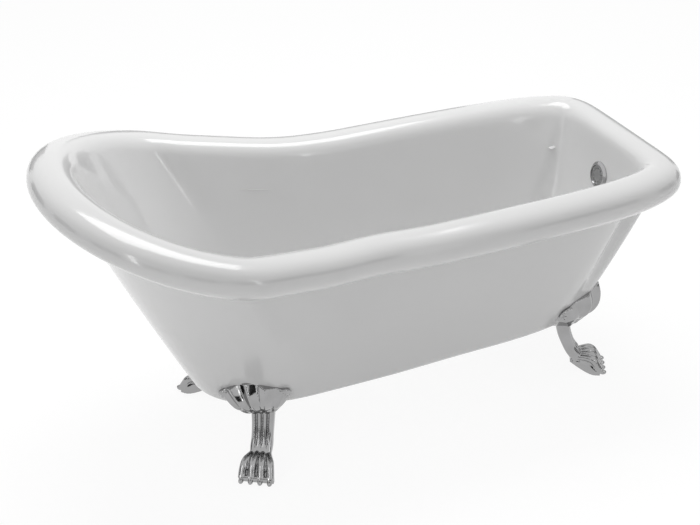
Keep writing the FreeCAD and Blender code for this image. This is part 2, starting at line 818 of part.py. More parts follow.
def make_drain_body():
    """Moulded waste body: collar, bowl, outlet and the side inlet for the overflow pipe."""
    bore, throat = "waste_spigot_radius + thread_gap", "tail_radius + thread_gap"
    bowl_top = "outlet_length + trap_bowl_length"
    body = revolved("drain_body", [
        (throat, "0"), ("outlet_radius", "0"), ("outlet_radius", "outlet_length - trap_wall"),
        ("trap_bowl_radius", "outlet_length + trap_wall"), ("trap_bowl_radius", bowl_top),
        ("waste_collar_radius", bowl_top), ("waste_collar_radius", bowl_top + " + waste_collar_height"),
        (bore, bowl_top + " + waste_collar_height"), (bore, bowl_top),
        ("trap_bowl_radius - trap_wall", bowl_top + " - trap_wall"),
        ("trap_bowl_radius - trap_wall", "outlet_length + 2 * trap_wall"),
        (throat, "outlet_length")])
    inlet = "pipe_inlet_height - (%s)" % OUTLET_LOW
    wall = body.newObject("PartDesign::Pad", "drain_inlet")
    wall.Profile = sketch_on(body, "YZ_Plane", circles=[
        ("0", inlet, "pipe_radius + socket_wall")])
    bind(wall, Length="trap_bowl_radius + socket_length")
    pocketed(body, "YZ_Plane", "trap_bowl_radius + 2 * socket_length", reverse=True,
             circles=[("0", inlet, "pipe_radius + thread_gap")])
    revolved("drain_clear", [
        ("0", inlet + " - pipe_radius - 2 * socket_wall"),
        ("trap_bowl_radius - trap_wall", inlet + " - pipe_radius - 2 * socket_wall"),
        ("trap_bowl_radius - trap_wall", inlet + " + pipe_radius + 2 * socket_wall"),
        ("0", inlet + " + pipe_radius + 2 * socket_wall")], "PartDesign::Groove", body)
    return at_drain(body, OUTLET_LOW)


def make_outlet_seal():
    profile = ring_profile("tail_radius + thread_gap", "outlet_radius", "-outlet_seal_height", "0")
    return at_drain(revolved("outlet_seal", profile), OUTLET_LOW)


def make_slip_nut():
    """Ribbed nut that holds the tailpiece and its seal against the outlet."""
    low = "-outlet_seal_height - slip_nut_lip"
    body = revolved("slip_nut", [
        ("tail_radius + thread_gap", low), ("slip_nut_radius", low),
        ("slip_nut_radius", low + " + slip_nut_height"),
        ("outlet_radius + thread_gap", low + " + slip_nut_height"),
        ("outlet_radius + thread_gap", "-outlet_seal_height"), ("tail_radius + thread_gap", "-outlet_seal_height")])
    notch = pocketed(body, "XY_Plane", circles=[
        ("slip_nut_radius + slip_nut_rib_depth", "0", "2 * slip_nut_rib_depth")])
    repeated(body, notch, "slip_nut_ribs")
    return at_drain(body, OUTLET_LOW)


def make_tailpiece():
    profile = ring_profile("tail_radius - tail_wall", "tail_radius", "tail_entry - tail_length", "tail_entry")
    return at_drain(revolved("tailpiece", profile), OUTLET_LOW)


def make_click_cartridge():
    """Bush screwed into the cross bars: the plug's stem slides in it."""
    bore = "plug_stem_radius + running_gap"
    seat = "cartridge_drop + waste_bar_height"
    body = revolved("click_cartridge", [
        (bore, "0"), ("cartridge_radius", "0"), ("cartridge_radius", seat), ("cartridge_head_radius", seat),
        ("cartridge_head_radius", seat + " + cartridge_head_height"),
        ("cartridge_radius", seat + " + cartridge_head_height"),
        ("cartridge_radius", "cartridge_length"), (bore, "cartridge_length")])
    return at_drain(body, FLOOR + " - waste_bar_depth - cartridge_drop")


PLUG_LOW = FLOOR + " + waste_seal_height + waste_flange_height + plug_rest_gap"


def make_plug():
    """Domed cap, its rubber seal and the stem with a stop under the cartridge: they move as one."""
    cap = revolved("plug_cap", [
        ("0", "0"), ("plug_radius - plug_edge / 2", "0"), ("plug_radius", "plug_edge / 2"),
        ("plug_radius", "plug_edge", "0"), ("0", "plug_edge + plug_dome")])
    seal = revolved("plug_seal", [
        ("plug_stem_radius", "-plug_seal_height"), ("plug_seal_radius - 1", "-plug_seal_height"),
        ("plug_seal_radius", "-plug_seal_height / 2"), ("plug_seal_radius - 1", "0"),
        ("plug_stem_radius", "0")])
    stem = revolved("plug_stem", [
        ("0", "-plug_stem_length"), ("plug_stop_radius", "-plug_stem_length"),
        ("plug_stop_radius", "plug_stop_height - plug_stem_length"),
        ("plug_stem_radius", "plug_stop_height - plug_stem_length"), ("plug_stem_radius", "0"), ("0", "0")])
    return [at_drain(body, PLUG_LOW) for body in (cap, seal, stem)]


# ------------------------------------------------------------------------------------ the overflow ----
def at_overflow(body):
    body.Placement = OVERFLOW_PLACEMENT
    return body


def make_overflow_cover():
    """Bevelled ring with a recess for the grille."""
    front = "overflow_proud"
    return at_overflow(revolved("overflow_cover", [
        ("overflow_nut_radius + overflow_clearance", "overflow_clearance"),
        ("overflow_radius", "overflow_clearance"), ("overflow_radius", "overflow_clearance + overflow_rim"),
        ("overflow_lip + (overflow_proud - overflow_recess) / 2", front), ("overflow_lip", front),
        ("overflow_lip", front + " - overflow_recess"), ("overflow_seat", front + " - overflow_recess"),
        ("overflow_nut_radius + overflow_clearance", "overflow_nut_height")]))


def make_overflow_grille():
    """Round plate with a ring of drain holes."""
    body = new_body("overflow_grille")
    padded(body, "XY_Plane", "grille_thickness", circles=[("0", "0", "overflow_lip - thread_gap")])
    hole = pocketed(body, "XY_Plane", circles=[("grille_hole_ring", "0", "grille_hole_radius")])
    repeated(body, hole, "grille_hole_count")
    body.Placement = OVERFLOW_PLACEMENT.multiply(
        Placement(Vector(0, 0, value_of("overflow_proud - overflow_recess")), Rotation()))
    return body


def make_overflow_nut():
    profile = ring_profile("overflow_spigot_radius + thread_gap", "overflow_nut_radius",
                           "overflow_clearance / 2", "overflow_nut_height")
    return at_overflow(revolved("overflow_nut", profile))


def make_overflow_gasket():
    profile = ring_profile("overflow_spigot_radius + thread_gap", "overflow_flange_radius",
                           "-shell_wall - overflow_gasket_height", "-shell_wall - thread_gap")
    return at_overflow(revolved("overflow_gasket", profile))


CUP_FRONT = "-shell_wall - overflow_gasket_height"


def pipe_path():
    """Corners of the overflow pipe's axis: inside the elbow's cup, beside the well's end wall, under
    the tub and at the waste's side inlet."""
    start = OVERFLOW_PLACEMENT.multVec(Vector(0.0, 0.0, value_of(CUP_FRONT + " - pipe_offset")))
    waist = end_wall_at(value_of("overflow_height - pipe_waist_drop"))[0]
    waist.x += size("pipe_waist_gap")
    passing = Vector(value_of("base_foot_reach - pipe_foot_inset"), 0.0, size("base_height"))
    inlet = size("pipe_inlet_height")
    corner = passing + (passing - waist) * ((passing.z - inlet) / (waist.z - passing.z))
    return [start, waist, corner, Vector(size("drain_station"), 0.0, inlet)]


def along_pipe(near, far, distance):
    """Place at a distance from one corner of the pipe towards the next, standing along it."""
    away = (far - near).normalize()
    return Placement(near + away * distance, Rotation(Vector(0, 0, 1), away))


def make_overflow_elbow():
    """Moulded elbow: threaded spigot, flange, closed cup and the socket for the pipe."""
    spigot, cup = "overflow_spigot_radius", "overflow_cup_radius"
    back = CUP_FRONT + " - overflow_cup_depth"
    body = at_overflow(revolved("elbow_cup", [
        ("0", back), (cup, back), (cup, CUP_FRONT + " - overflow_cup_wall"),
        ("overflow_flange_radius", CUP_FRONT + " - overflow_cup_wall"),
        ("overflow_flange_radius", CUP_FRONT), (spigot, CUP_FRONT), (spigot, "overflow_spigot_reach"),
        ("0", "overflow_spigot_reach")]))
    start, waist = pipe_path()[:2]
    socket = doc.addObject("Part::Cylinder", "elbow_socket")
    bind(socket, Radius="pipe_radius + socket_wall", Height="overflow_cup_radius + socket_length")
    socket.Placement = along_pipe(start, waist, 0.0)
    whole = doc.addObject("Part::MultiFuse", "elbow_whole")
    whole.Shapes = [body, socket]
    bore = doc.addObject("Part::Cylinder", "elbow_bore")
    bind(bore, Radius="pipe_radius + thread_gap", Height="overflow_cup_radius + 2 * socket_length")
    bore.Placement = along_pipe(start, waist, 0.0)
    hollow = doc.addObject("Part::Cylinder", "elbow_hollow")
    depth = back + " + overflow_cup_wall"
    bind(hollow, Radius="overflow_spigot_bore", Height="2 * overflow_spigot_reach - (%s)" % depth)
    hollow.Placement = OVERFLOW_PLACEMENT.multiply(Placement(Vector(0, 0, value_of(depth)), Rotation()))
    return cut_by("overflow_elbow", whole, [bore, hollow])


def rounded_spine(corners, radius):
    """Wire through the corners with an arc of one radius at each turn."""
    edges = []
    start = corners[0]
    for before, corner, after in zip(corners, corners[1:], corners[2:]):
        arriving, leaving = (corner - before).normalize(), (after - corner).normalize()
        turn = arriving.getAngle(leaving)
        trim = radius * math.tan(turn / 2.0)
        middle = corner + (leaving - arriving).normalize() * (radius / math.cos(turn / 2.0) - radius)
        edges.append(Part.makeLine(start, corner - arriving * trim))
        edges.append(Part.Arc(corner - arriving * trim, middle, corner + leaving * trim).toShape())
        start = corner + leaving * trim
    edges.append(Part.makeLine(start, corners[-1]))
    return Part.Wire(edges)


def make_overflow_pipe():
    """Bent pipe from the elbow down the foot-end cavity and under the tub to the waste."""
    corners = pipe_path()
    first = along_pipe(corners[0], corners[1], value_of("overflow_cup_radius + thread_gap"))
    last = along_pipe(corners[3], corners[2], value_of("trap_bowl_radius + thread_gap"))
    spine = rounded_spine([first.Base, corners[1], corners[2], last.Base], size("pipe_bend_radius"))
    way = corners[1] - corners[0]
    outer, inner = [
        spine.makePipeShell([Part.Wire([Part.makeCircle(radius, first.Base, way)])], True, False)
        for radius in (size("pipe_radius"), value_of("pipe_radius - pipe_wall"))]
    return feature("overflow_pipe", outer.cut(inner))


def make_pipe_nuts():
    """The two nuts that close the pipe's sockets."""
    corners = pipe_path()
    profile = ring_profile("pipe_radius + thread_gap", "pipe_nut_radius", "0", "pipe_nut_height")
    ends = {
        "elbow_pipe_nut": (corners[0], corners[1], "overflow_cup_radius + socket_length"),
        "inlet_pipe_nut": (corners[3], corners[2], "trap_bowl_radius + socket_length"),
    }
    nuts = []
    for label, (near, far, reach) in ends.items():
        nut = revolved(label, profile)
        nut.Placement = along_pipe(near, far, value_of(reach))
        nuts.append(nut)
    return nuts


# -------------------------------------------------------------------------------------- the feet ----
# In a foot's own frame X points out over the toes, Z is up and the toe line stands at X = 0.
# leg: height, rear edge, front edge, share of the leg's half width
LEG_SECTIONS = (
    (152.0, -138.0, -98.0, 1.00),
    (110.0, -128.0, -92.0, 0.94),
    (75.0, -114.0, -76.0, 0.98),
    (50.0, -104.0, -58.0, 1.06),
    (25.0, -92.0, -40.0, 1.12),
    (8.0, -82.0, -32.0, 1.00),
)
# paw: reach, share of its half width, height over the toes, share of the relief between toes
PAW_SECTIONS = (
    (-88.0, 0.45, 20.0, 0.0),
    (-68.0, 0.72, 33.0, 0.3),
    (-45.0, 0.92, 42.0, 0.7),
    (-24.0, 1.00, 44.0, 1.0),
    (-9.0, 1.00, 36.0, 1.2),
    (1.0, 0.96, 22.0, 1.0),
)
# leaf: height, share of its half width, front edge, depth of the solid behind it
LEAF_SECTIONS = (
    (150.0, 0.42, -64.0, 44.0),
    (166.0, 0.66, -36.0, 62.0),
    (190.0, 0.88, -19.0, 66.0),
    (214.0, 0.96, -18.0, 60.0),
    (238.0, 0.70, -28.0, 46.0),
    (258.0, 0.14, -38.0, 34.0),
)
LEAF_CORNERS = 11                     # corners of the leaf's folded front, valleys at both ends
TOES = 4


def lofted(outlines):
    """Solid through closed straight-sided outlines, smooth from one to the next."""
    return Part.makeLoft([Part.makePolygon(outline + outline[:1]) for outline in outlines], True, False)


def tapered(start, radius, end, end_radius):
    return Part.makeCone(radius, end_radius, (end - start).Length, start, end - start)


def leg_outline(height, rear, front, share):
    """Level outline of the leg: plain behind, four ridges and three flutes in front."""
    half, depth, flute = size("leg_half_width") * share, front - rear, size("flute_depth")
    outline = [Vector(rear, -0.6 * half, height), Vector(rear + 0.25 * depth, -half, height),
               Vector(front - 0.3 * depth, -half, height)]
    for k in range(7):
        outline.append(Vector(front - flute * (k % 2), half * (k - 3) * 0.25, height))
    return outline + [Vector(front - 0.3 * depth, half, height), Vector(rear + 0.25 * depth, half, height),
                      Vector(rear, 0.6 * half, height)]


def paw_outline(reach, share, height, relief):
    """Upright outline across the paw: flat sole, four toes with valleys between."""
    half = size("paw_half_width") * share
    pitch = 2.0 * half / TOES
    sole = -size("sole_trim")
    outline = [Vector(reach, -0.9 * half, sole), Vector(reach, 0.9 * half, sole),
               Vector(reach, half, 0.4 * height)]
    for toe in range(TOES):
        centre = half - pitch * (toe + 0.5)
        crown = height * (1.0 if 0 < toe < TOES - 1 else 0.9)
        outline.append(Vector(reach, centre + 0.3 * pitch, crown))
        outline.append(Vector(reach, centre - 0.3 * pitch, crown))
        if toe < TOES - 1:
            outline.append(Vector(reach, centre - 0.5 * pitch, crown - size("toe_relief") * relief))
    return outline + [Vector(reach, -half, 0.4 * height)]


def leaf_outline(height, share, front, depth):
    """Level outline of the leaf: a folded front that falls back to the sides."""
    half = size("leaf_half_width") * share
    outline = []
    for k in range(LEAF_CORNERS):
        across = 2.0 * k / (LEAF_CORNERS - 1) - 1.0
        fold = size("leaf_fold_depth") * share * (1 - k % 2)
        outline.append(Vector(front - fold - 0.35 * half * across ** 2, half * across, height))
    return outline + [Vector(front - depth, 0.8 * half, height), Vector(front - depth, -0.8 * half, height)]


def foot_casting():
    """Leg, paw, claws, leaf with its curled lobes, and the flange under the tub, as one casting."""
    pieces = [lofted([leg_outline(*row) for row in LEG_SECTIONS]),
              lofted([paw_outline(*row) for row in PAW_SECTIONS]),
              lofted([leaf_outline(*row) for row in LEAF_SECTIONS])]
    claw = size("claw_radius")
    pitch = 2.0 * size("paw_half_width") / TOES
    for toe in range(TOES):
        tip = Vector(-1.0, pitch * (toe - (TOES - 1) / 2.0), claw - size("sole_trim"))
        pieces.append(Part.makeSphere(claw, tip))
        pieces.append(tapered(tip, claw, Vector(-9.0, tip.y, 26.0), 0.9 * claw))
    curl, half = size("leaf_curl_radius"), size("leaf_half_width")
    for side in (-1, 1):
        lobe = Vector(-48.0, side * (half - 0.2 * curl), 196.0)
        pieces.append(tapered(lobe, curl, Vector(-58.0, side * 0.78 * half, 166.0), 0.45 * curl))
        pieces.append(tapered(lobe, curl, Vector(-52.0, side * 0.80 * half, 226.0), 0.4 * curl))
    width, height = size("foot_flange_width"), size("foot_flange_height")
    length = size("foot_flange_reach") + LEG_SECTIONS[0][2]
    corner = Vector(-size("foot_flange_reach"), -width / 2.0, size("base_height") - height)
    pieces.append(Part.makeBox(length, width, height, corner))
    return pieces[0].multiFuse(pieces[1:])


def foot_cuts():
    """Floor under the sole, screw holes in the flange, and the recess and bore of the leveller."""
    half = size("paw_half_width")
    tools = [Part.makeBox(4.0 * half, 3.0 * half, half, Vector(-3.0 * half, -1.5 * half, -half))]
    low = size("base_height") - 2.0 * size("foot_flange_height")
    tools += [Part.makeCylinder(value_of(SCREW_BORE), 3.0 * size("foot_flange_height"),
                                Vector(-size(reach), 0.0, low))
              for reach in ("screw_reach_outer", "screw_reach_inner")]
    axis = Vector(-size("leveller_reach"), 0.0, 0.0)
    recess = value_of("leveller_pad_gap + leveller_pad_height + leveller_recess_gap")
    tools.append(Part.makeCylinder(value_of("leveller_pad_radius + leveller_recess_gap"), recess, axis))
    bore = value_of("leveller_pad_gap + leveller_pad_height + leveller_pin_length + leveller_recess_gap")
    tools.append(Part.makeCylinder(value_of("leveller_pin_radius + running_gap"), bore, axis))
    return tools


def foot_placement(foot):
    end, side = FEET[foot]
    toe = Vector(size(end + "_toe_station"), side * size(end + "_toe_spread"), 0.0)
    return Placement(toe, Rotation(Vector(0, 0, 1), side * size(end + "_foot_yaw")))


def make_claw_feet():
    """The four castings, each cut to seat against the outer skin."""
    casting, cuts, seat = foot_casting(), foot_cuts(), seat_cutter_solid()
    feet = []
    for foot in FEET:
        placement = foot_placement(foot)
        inside = seat.copy()
        inside.transformShape(placement.inverse().toMatrix(), False)
        feet.append(feature("claw_foot_" + foot, casting.cut([inside] + cuts), placement))
    return feet


def make_foot_fixings():
    """Screw, washer and threaded insert at each of the eight holes."""
    items = []
    low = "-washer_height"
    for k, (foot, reach) in enumerate(SCREWS, start=1):
        x, y = along_foot(foot, reach)
        screw = revolved("foot_screw_%d" % k, [
            ("0", low + " - screw_head_height"), ("screw_head_radius - 0.6", low + " - screw_head_height"),
            ("screw_head_radius", low + " - screw_head_height + 0.6"), ("screw_head_radius", low),
            ("screw_radius", low), ("screw_radius", low + " + screw_length"),
            ("0", low + " + screw_length")])
        revolved("socket", [
            ("0", low + " - screw_head_height"), ("screw_socket_radius", low + " - screw_head_height"),
            ("screw_socket_radius", low + " - screw_head_height + screw_socket_depth"),
            ("0", low + " - screw_head_height + screw_socket_depth")], "PartDesign::Groove", screw)
        washer = revolved("foot_washer_%d" % k,
                          ring_profile("screw_radius + thread_gap", "washer_radius", low, "0"))
        insert = revolved("board_insert_%d" % k, ring_profile(
            "screw_radius + thread_gap", "insert_radius", "0", "insert_height"))
        items += [stand(screw, x, y, "base_height - foot_flange_height"),
                  stand(washer, x, y, "base_height - foot_flange_height"),
                  stand(insert, x, y, BOARD_LOW)]
    return items


def make_levellers():
    """Threaded pin and floor pad in each sole, shown wound up clear of the floor."""
    items = []
    for foot in FEET:
        x, y = along_foot(foot, "leveller_reach")
        pin_body = revolved("leveller_pin_" + foot, [
            ("0", "0"), ("leveller_pin_radius", "0"), ("leveller_pin_radius", "leveller_pin_length - 1"),
            ("leveller_pin_radius - 1", "leveller_pin_length"), ("0", "leveller_pin_length")])
        pad = revolved("leveller_pad_" + foot, [
            ("0", "-leveller_pad_height"), ("leveller_pad_radius", "-leveller_pad_height"),
            ("leveller_pad_radius", "-leveller_pad_height / 2"), ("leveller_pad_radius * 0.7", "0"),
            ("0", "0")])
        for item in (pin_body, pad):
            items.append(stand(item, x, y, "leveller_pad_gap + leveller_pad_height"))
    return items


# --------------------------------------------------------------------------------------- assembly ----
subparts = [
    make_inner_shell(), make_outer_skirt(), make_seam_bead(), make_base_board(),
    make_drain_flange(), make_drain_flange_seal(), make_drain_gasket(), make_drain_body(),
    make_outlet_seal(), make_slip_nut(), make_tailpiece(), make_click_cartridge(), *make_plug(),
    make_overflow_cover(), make_overflow_grille(), make_overflow_nut(), make_overflow_gasket(),
    make_overflow_elbow(), make_overflow_pipe(), *make_pipe_nuts(),
    *make_claw_feet(), *make_foot_fixings(), *make_levellers(),
]
doc.recompute()

for item in doc.Objects:
    if "Invalid" in item.State or "Error" in item.State:
        raise RuntimeError("%s did not recompute" % item.Label)

os.makedirs("parts", exist_ok=True)
for subpart in subparts:
    shape = subpart.Shape
    if shape.isNull() or not shape.isValid() or not shape.Solids:
        raise RuntimeError("%s has no valid solid" % subpart.Label)
    shape.exportStep("parts/%s.step" % subpart.Label)
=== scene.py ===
"""Slipper bath on four claw feet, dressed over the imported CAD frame.

The two skins repeat the part's own sections with finer steps.  The feet are sculpted castings, cut
to seat on the skirt.  Shape sizes are millimetres, as in the part, and meshes are made in metres.
"""

import math

import bmesh
import bpy
import numpy as np
from mathutils import Matrix, Vector
from mathutils.bvhtree import BVHTree


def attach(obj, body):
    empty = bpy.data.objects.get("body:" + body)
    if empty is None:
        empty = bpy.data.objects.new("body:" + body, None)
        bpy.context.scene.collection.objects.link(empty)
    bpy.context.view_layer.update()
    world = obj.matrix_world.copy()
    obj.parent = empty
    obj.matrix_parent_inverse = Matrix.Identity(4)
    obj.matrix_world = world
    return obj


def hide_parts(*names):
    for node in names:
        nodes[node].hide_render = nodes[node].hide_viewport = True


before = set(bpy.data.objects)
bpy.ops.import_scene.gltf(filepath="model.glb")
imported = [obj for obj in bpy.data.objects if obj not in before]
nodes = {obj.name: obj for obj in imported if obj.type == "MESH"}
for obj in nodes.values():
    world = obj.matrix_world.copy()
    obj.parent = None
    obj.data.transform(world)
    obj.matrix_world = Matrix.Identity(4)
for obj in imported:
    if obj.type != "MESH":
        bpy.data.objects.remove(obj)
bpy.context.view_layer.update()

MM = 0.001

# ------------------------------------------------------------------------------- sizes of the bath ----
HALF_LENGTH = 775.0
RIM = {"head_half": 406.0, "foot_half": 335.0, "wide_x": -413.0, "powers": (2.05, 6.6)}
WAIST_RUN = 378.0
DIP_X, DIP_HEIGHT, HEAD_HEIGHT, FOOT_HEIGHT, HEAD_SWEEP = 77.0, 609.0, 766.0, 611.0, 1.72
ROLL_OUTER, ROLL_INNER, ROLL_TRIM, ROLL_DROP, INNER_DROP = 55.0, 36.6, 7.0, 43.5, 36.6
RETURN_DROP, RETURN_DROP_HEAD, RETURN_FULLNESS = 109.0, 95.0, 0.62
INSET_SIDE, INSET_FOOT, INSET_CORNER = 87.0, 46.0, 46.0
BASE = {"head_x": -436.0, "foot_x": 611.0, "wide_x": -184.0, "half": 165.5, "powers": (2.34, 3.56)}
BASE_HEIGHT, BASE_RADIUS, SKIRT_BULGE, SKIRT_WALL = 154.0, 33.0, 4.0, 4.0
BEAD_PROUD, BEAD_HEIGHT = 1.2, 3.0
WELL_INSETS = {"head": 38.0, "foot": 46.0, "side": 18.0}
WELL_FLOOR, WELL_RADIUS, WELL_WALL = 181.0, 75.0, 5.0
WELL_BULGE, WELL_BULGE_FOOT = 4.0, 24.0
DRAIN_X, DRAIN_HOLE, BOARD_HOLE = 430.0, 22.6, 36.0
OVERFLOW_HOLE, OVERFLOW_HEIGHT = 17.6, 490.0
PIPE_X, PIPE_HOLE, SCREW_HOLE = 591.0, 14.0, 4.5

STATIONS = 60                         # sections of the part, joined by smooth closed curves
SUBSTEPS = 6                          # mesh columns from one section to the next
HALF_WALK = 900                       # points read along half a plan outline


# ----------------------------------------------------------------------------------- plans and walks ----
def smooth_step(s):
    """Share that eases from 0 to 1, level at both ends."""
    s = np.clip(s, 0.0, 1.0)
    return s * s * (3.0 - 2.0 * s)


def unit(v):
    """Vectors brought to length 1."""
    return v / np.linalg.norm(v, axis=-1, keepdims=True)


def plan_outline(head_x, foot_x, wide_x, head_half, foot_half, powers):
    """Half a plan outline, head tip to foot centre: two superellipse ends that meet at wide_x."""
    angle = np.pi * (1.0 - np.arange(HALF_WALK + 1) / HALF_WALK)
    c, s = np.cos(angle), np.abs(np.sin(angle))
    at_head = c < 0.0
    power = np.where(at_head, *powers)
    x = wide_x + np.where(at_head, head_x - wide_x, foot_x - wide_x) * np.abs(c) ** (2.0 / power)
    narrowing = np.where(at_head, 0.0, smooth_step((x - wide_x) / WAIST_RUN))
    y = (head_half + (foot_half - head_half) * narrowing) * s ** (2.0 / power)
    return np.stack([x, y], axis=1)


def walk(outline):
    """Closed loop of evenly spaced stations, anticlockwise seen from above, head tip first."""
    steps = np.linalg.norm(np.diff(outline, axis=0), axis=1)
    measure = np.concatenate([[0.0], np.cumsum(steps)])
    at = np.linspace(0.0, measure[-1], STATIONS // 2 + 1)
    side = np.stack([np.interp(at, measure, outline[:, k]) for k in range(2)], axis=1)
    return np.concatenate([side * (1.0, -1.0), side[-2:0:-1]])


def raised(loop, height):
    """A plan loop lifted to one height, or to a height for each point."""
    return np.column_stack([loop, np.broadcast_to(height, len(loop))])


def base_walk(head_inset=0.0, foot_inset=0.0, side_inset=0.0):
    """The base's outline, moved in at its head, its foot and its sides."""
    half = BASE["half"] - side_inset
    return walk(plan_outline(BASE["head_x"] + head_inset, BASE["foot_x"] - foot_inset,
                             BASE["wide_x"], half, half, BASE["powers"]))


def crest_height(x):
    """Height of the rim's crest: low at the dip, a little higher at the foot, high at the head."""
    head_share = np.clip((DIP_X - x) / (DIP_X + HALF_LENGTH), 0.0, 1.0)
    foot_share = (x - DIP_X) / (HALF_LENGTH - DIP_X)
    return (DIP_HEIGHT + (HEAD_HEIGHT - DIP_HEIGHT) * head_share ** HEAD_SWEEP
            + (FOOT_HEIGHT - DIP_HEIGHT) * smooth_step(foot_share))


rim = walk(plan_outline(-HALF_LENGTH, HALF_LENGTH, RIM["wide_x"], RIM["head_half"], RIM["foot_half"],
                        RIM["powers"]))
turning = unit(np.roll(rim, -1, axis=0) - rim) + unit(rim - np.roll(rim, 1, axis=0))
normal = raised(unit(np.column_stack([turning[:, 1], -turning[:, 0]])), 0.0)
edge = raised(rim, crest_height(rim[:, 0]))
around = np.concatenate([[0.0], np.cumsum(np.linalg.norm(np.roll(rim, -1, axis=0) - rim, axis=1))])

headward = np.clip(-normal[:, 0], 0.0, None) ** 2
footward = np.clip(normal[:, 0], 0.0, None) ** 2
end_wall = footward ** 3
at_corner = np.where(normal[:, 0] > 0.0, (2.0 * normal[:, 0] * normal[:, 1]) ** 2, 0.0)
return_drop = RETURN_DROP + (RETURN_DROP_HEAD - RETURN_DROP) * headward
return_inset = INSET_SIDE + (INSET_FOOT - INSET_SIDE) * footward + INSET_CORNER * at_corner
well_bulge = WELL_BULGE + (WELL_BULGE_FOOT - WELL_BULGE) * end_wall


# ------------------------------------------------------------------------------ sections and surfaces ----
def place(out, down):
    """Ring at distances outward from the rim's edge and below its crest."""
    out, down = np.broadcast_to(out, STATIONS), np.broadcast_to(down, STATIONS)
    return edge + normal * out[:, None] - np.outer(down, (0.0, 0.0, 1.0))


def wall_rings(start, foot, bulge, radius):
    """Bulge ring, upper tangent ring, floor corner and lower tangent ring of a wall."""
    run = start - foot
    level = unit(run * (1.0, 1.0, 0.0))
    lean = np.arctan2(run[:, 2], np.hypot(run[:, 0], run[:, 1]))[:, None]
    out = level * np.sin(lean) - np.cos(lean) * (0.0, 0.0, 1.0)
    vertex = foot + run * 0.5 + out * 2.0 * np.broadcast_to(bulge, STATIONS)[:, None]
    rise = vertex - foot
    slope = np.arctan2(rise[:, 2], np.hypot(rise[:, 0], rise[:, 1]))[:, None]
    tangent = radius * np.tan(slope / 2.0)
    return [vertex, foot + unit(rise) * tangent, foot, foot - level * tangent]


def well_rings():
    """Lip, return, rim edge, roll, crest, roll, wall and floor corner of the well's face."""
    inner = ROLL_INNER - ROLL_TRIM * end_wall
    full = ROLL_DROP + RETURN_FULLNESS * (return_drop - ROLL_DROP)
    corner = place(-ROLL_OUTER - inner, 0.0)
    foot = raised(base_walk(WELL_INSETS["head"], WELL_INSETS["foot"], WELL_INSETS["side"]), WELL_FLOOR)
    wall = wall_rings(corner, foot, well_bulge, WELL_RADIUS)
    fall = wall[0] - corner
    top = corner + fall * (INNER_DROP / np.abs(fall[:, 2:]))
    return [place(-return_inset, return_drop), place(0.0, full), place(0.0, ROLL_DROP), place(0.0, 0.0),
            place(-ROLL_OUTER, 0.0), corner, top, *wall]


def skirt_rings():
    """Top edge under the rim's return, wall and floor corner of the skirt's face."""
    top = place(-return_inset - BEAD_PROUD, return_drop + BEAD_HEIGHT)
    return [top, *wall_rings(top, raised(base_walk(), BASE_HEIGHT), SKIRT_BULGE, BASE_RADIUS)]


def ring_offset(rings, distance):
    """Rings moved along the skin's normal, mitred between the straight runs of the section."""
    moved = []
    for j, ring in enumerate(rings):
        along = np.roll(ring, -1, axis=0) - np.roll(ring, 1, axis=0)
        runs = [rings[j - 1] - ring] if j > 0 else []
        runs += [ring - rings[j + 1]] if j < len(rings) - 1 else []
        normals = [unit(np.cross(along, run)) for run in runs]
        if len(normals) == 1:
            moved.append(ring + normals[0] * distance)
        else:
            share = 1.0 + np.sum(normals[0] * normals[1], axis=1, keepdims=True)
            moved.append(ring + (normals[0] + normals[1]) * distance / share)
    return moved


def level_lip(rings, back_rings, wall):
    """Bring the back face's first ring to the height of the front's, so that the lip is level."""
    run = rings[0] - rings[1]
    slope = np.arctan2(np.abs(run[:, 2]), np.hypot(run[:, 0], run[:, 1]))
    back_rings[0] = rings[0] - normal * (wall / np.sin(slope))[:, None]


def closed_curve(ring):
    """The smooth closed curve through a ring, read at every mesh column."""
    span = np.diff(around)
    before = np.roll(span, 1)
    slope = (np.roll(ring, -1, axis=0) - ring) / span[:, None]
    system = np.diag(2.0 * (before + span))
    for i in range(STATIONS):
        system[i, i - 1] = before[i]
        system[i, (i + 1) % STATIONS] = span[i]
    bend = np.linalg.solve(system, 6.0 * (slope - np.roll(slope, 1, axis=0)))
    columns = []
    for k in range(SUBSTEPS):
        b = k / SUBSTEPS
        a = 1.0 - b
        square = (span ** 2 / 6.0)[:, None]
        columns.append(a * ring + b * np.roll(ring, -1, axis=0)
                       + ((a ** 3 - a) * bend + (b ** 3 - b) * np.roll(bend, -1, axis=0)) * square)
    return np.stack(columns, axis=1).reshape(-1, 3)


def swept_rows(rings, steps):
    """Mesh rows over a section whose every second ring is a tangent point between parabolas."""
    curves = [closed_curve(ring) for ring in rings]
    rows = [curves[0]]
    for zone, count in enumerate(steps):
        a, control, b = curves[2 * zone:2 * zone + 3]
        for k in range(1, count + 1):
            t = k / count
            rows.append(a * (1 - t) ** 2 + control * (2 * t * (1 - t)) + b * t ** 2)
    return rows


def rows_to_hole(ring, centre_x, radius, count):
    """Level rows from a floor's edge in to a round hole."""
    centre = np.array([centre_x, 0.0, ring[0, 2]])
    hole = centre + unit(ring - centre) * radius
    return [ring + (hole - ring) * (k / count) for k in range(1, count + 1)]


# ------------------------------------------------------------------------------------- mesh helpers ----
def new_object(name, vertices, faces):
    """Mesh object whose faces are turned outward."""
    mesh = bpy.data.meshes.new(name)
    mesh.from_pydata([tuple(v) for v in np.asarray(vertices, float)], [], faces)
    obj = bpy.data.objects.new(name, mesh)
    bpy.context.scene.collection.objects.link(obj)
    work = bmesh.new()
    work.from_mesh(mesh)
    bmesh.ops.recalc_face_normals(work, faces=work.faces)
    if work.calc_volume(signed=True) < 0.0:
        bmesh.ops.reverse_faces(work, faces=work.faces)
    work.to_mesh(mesh)
    work.free()
    return obj


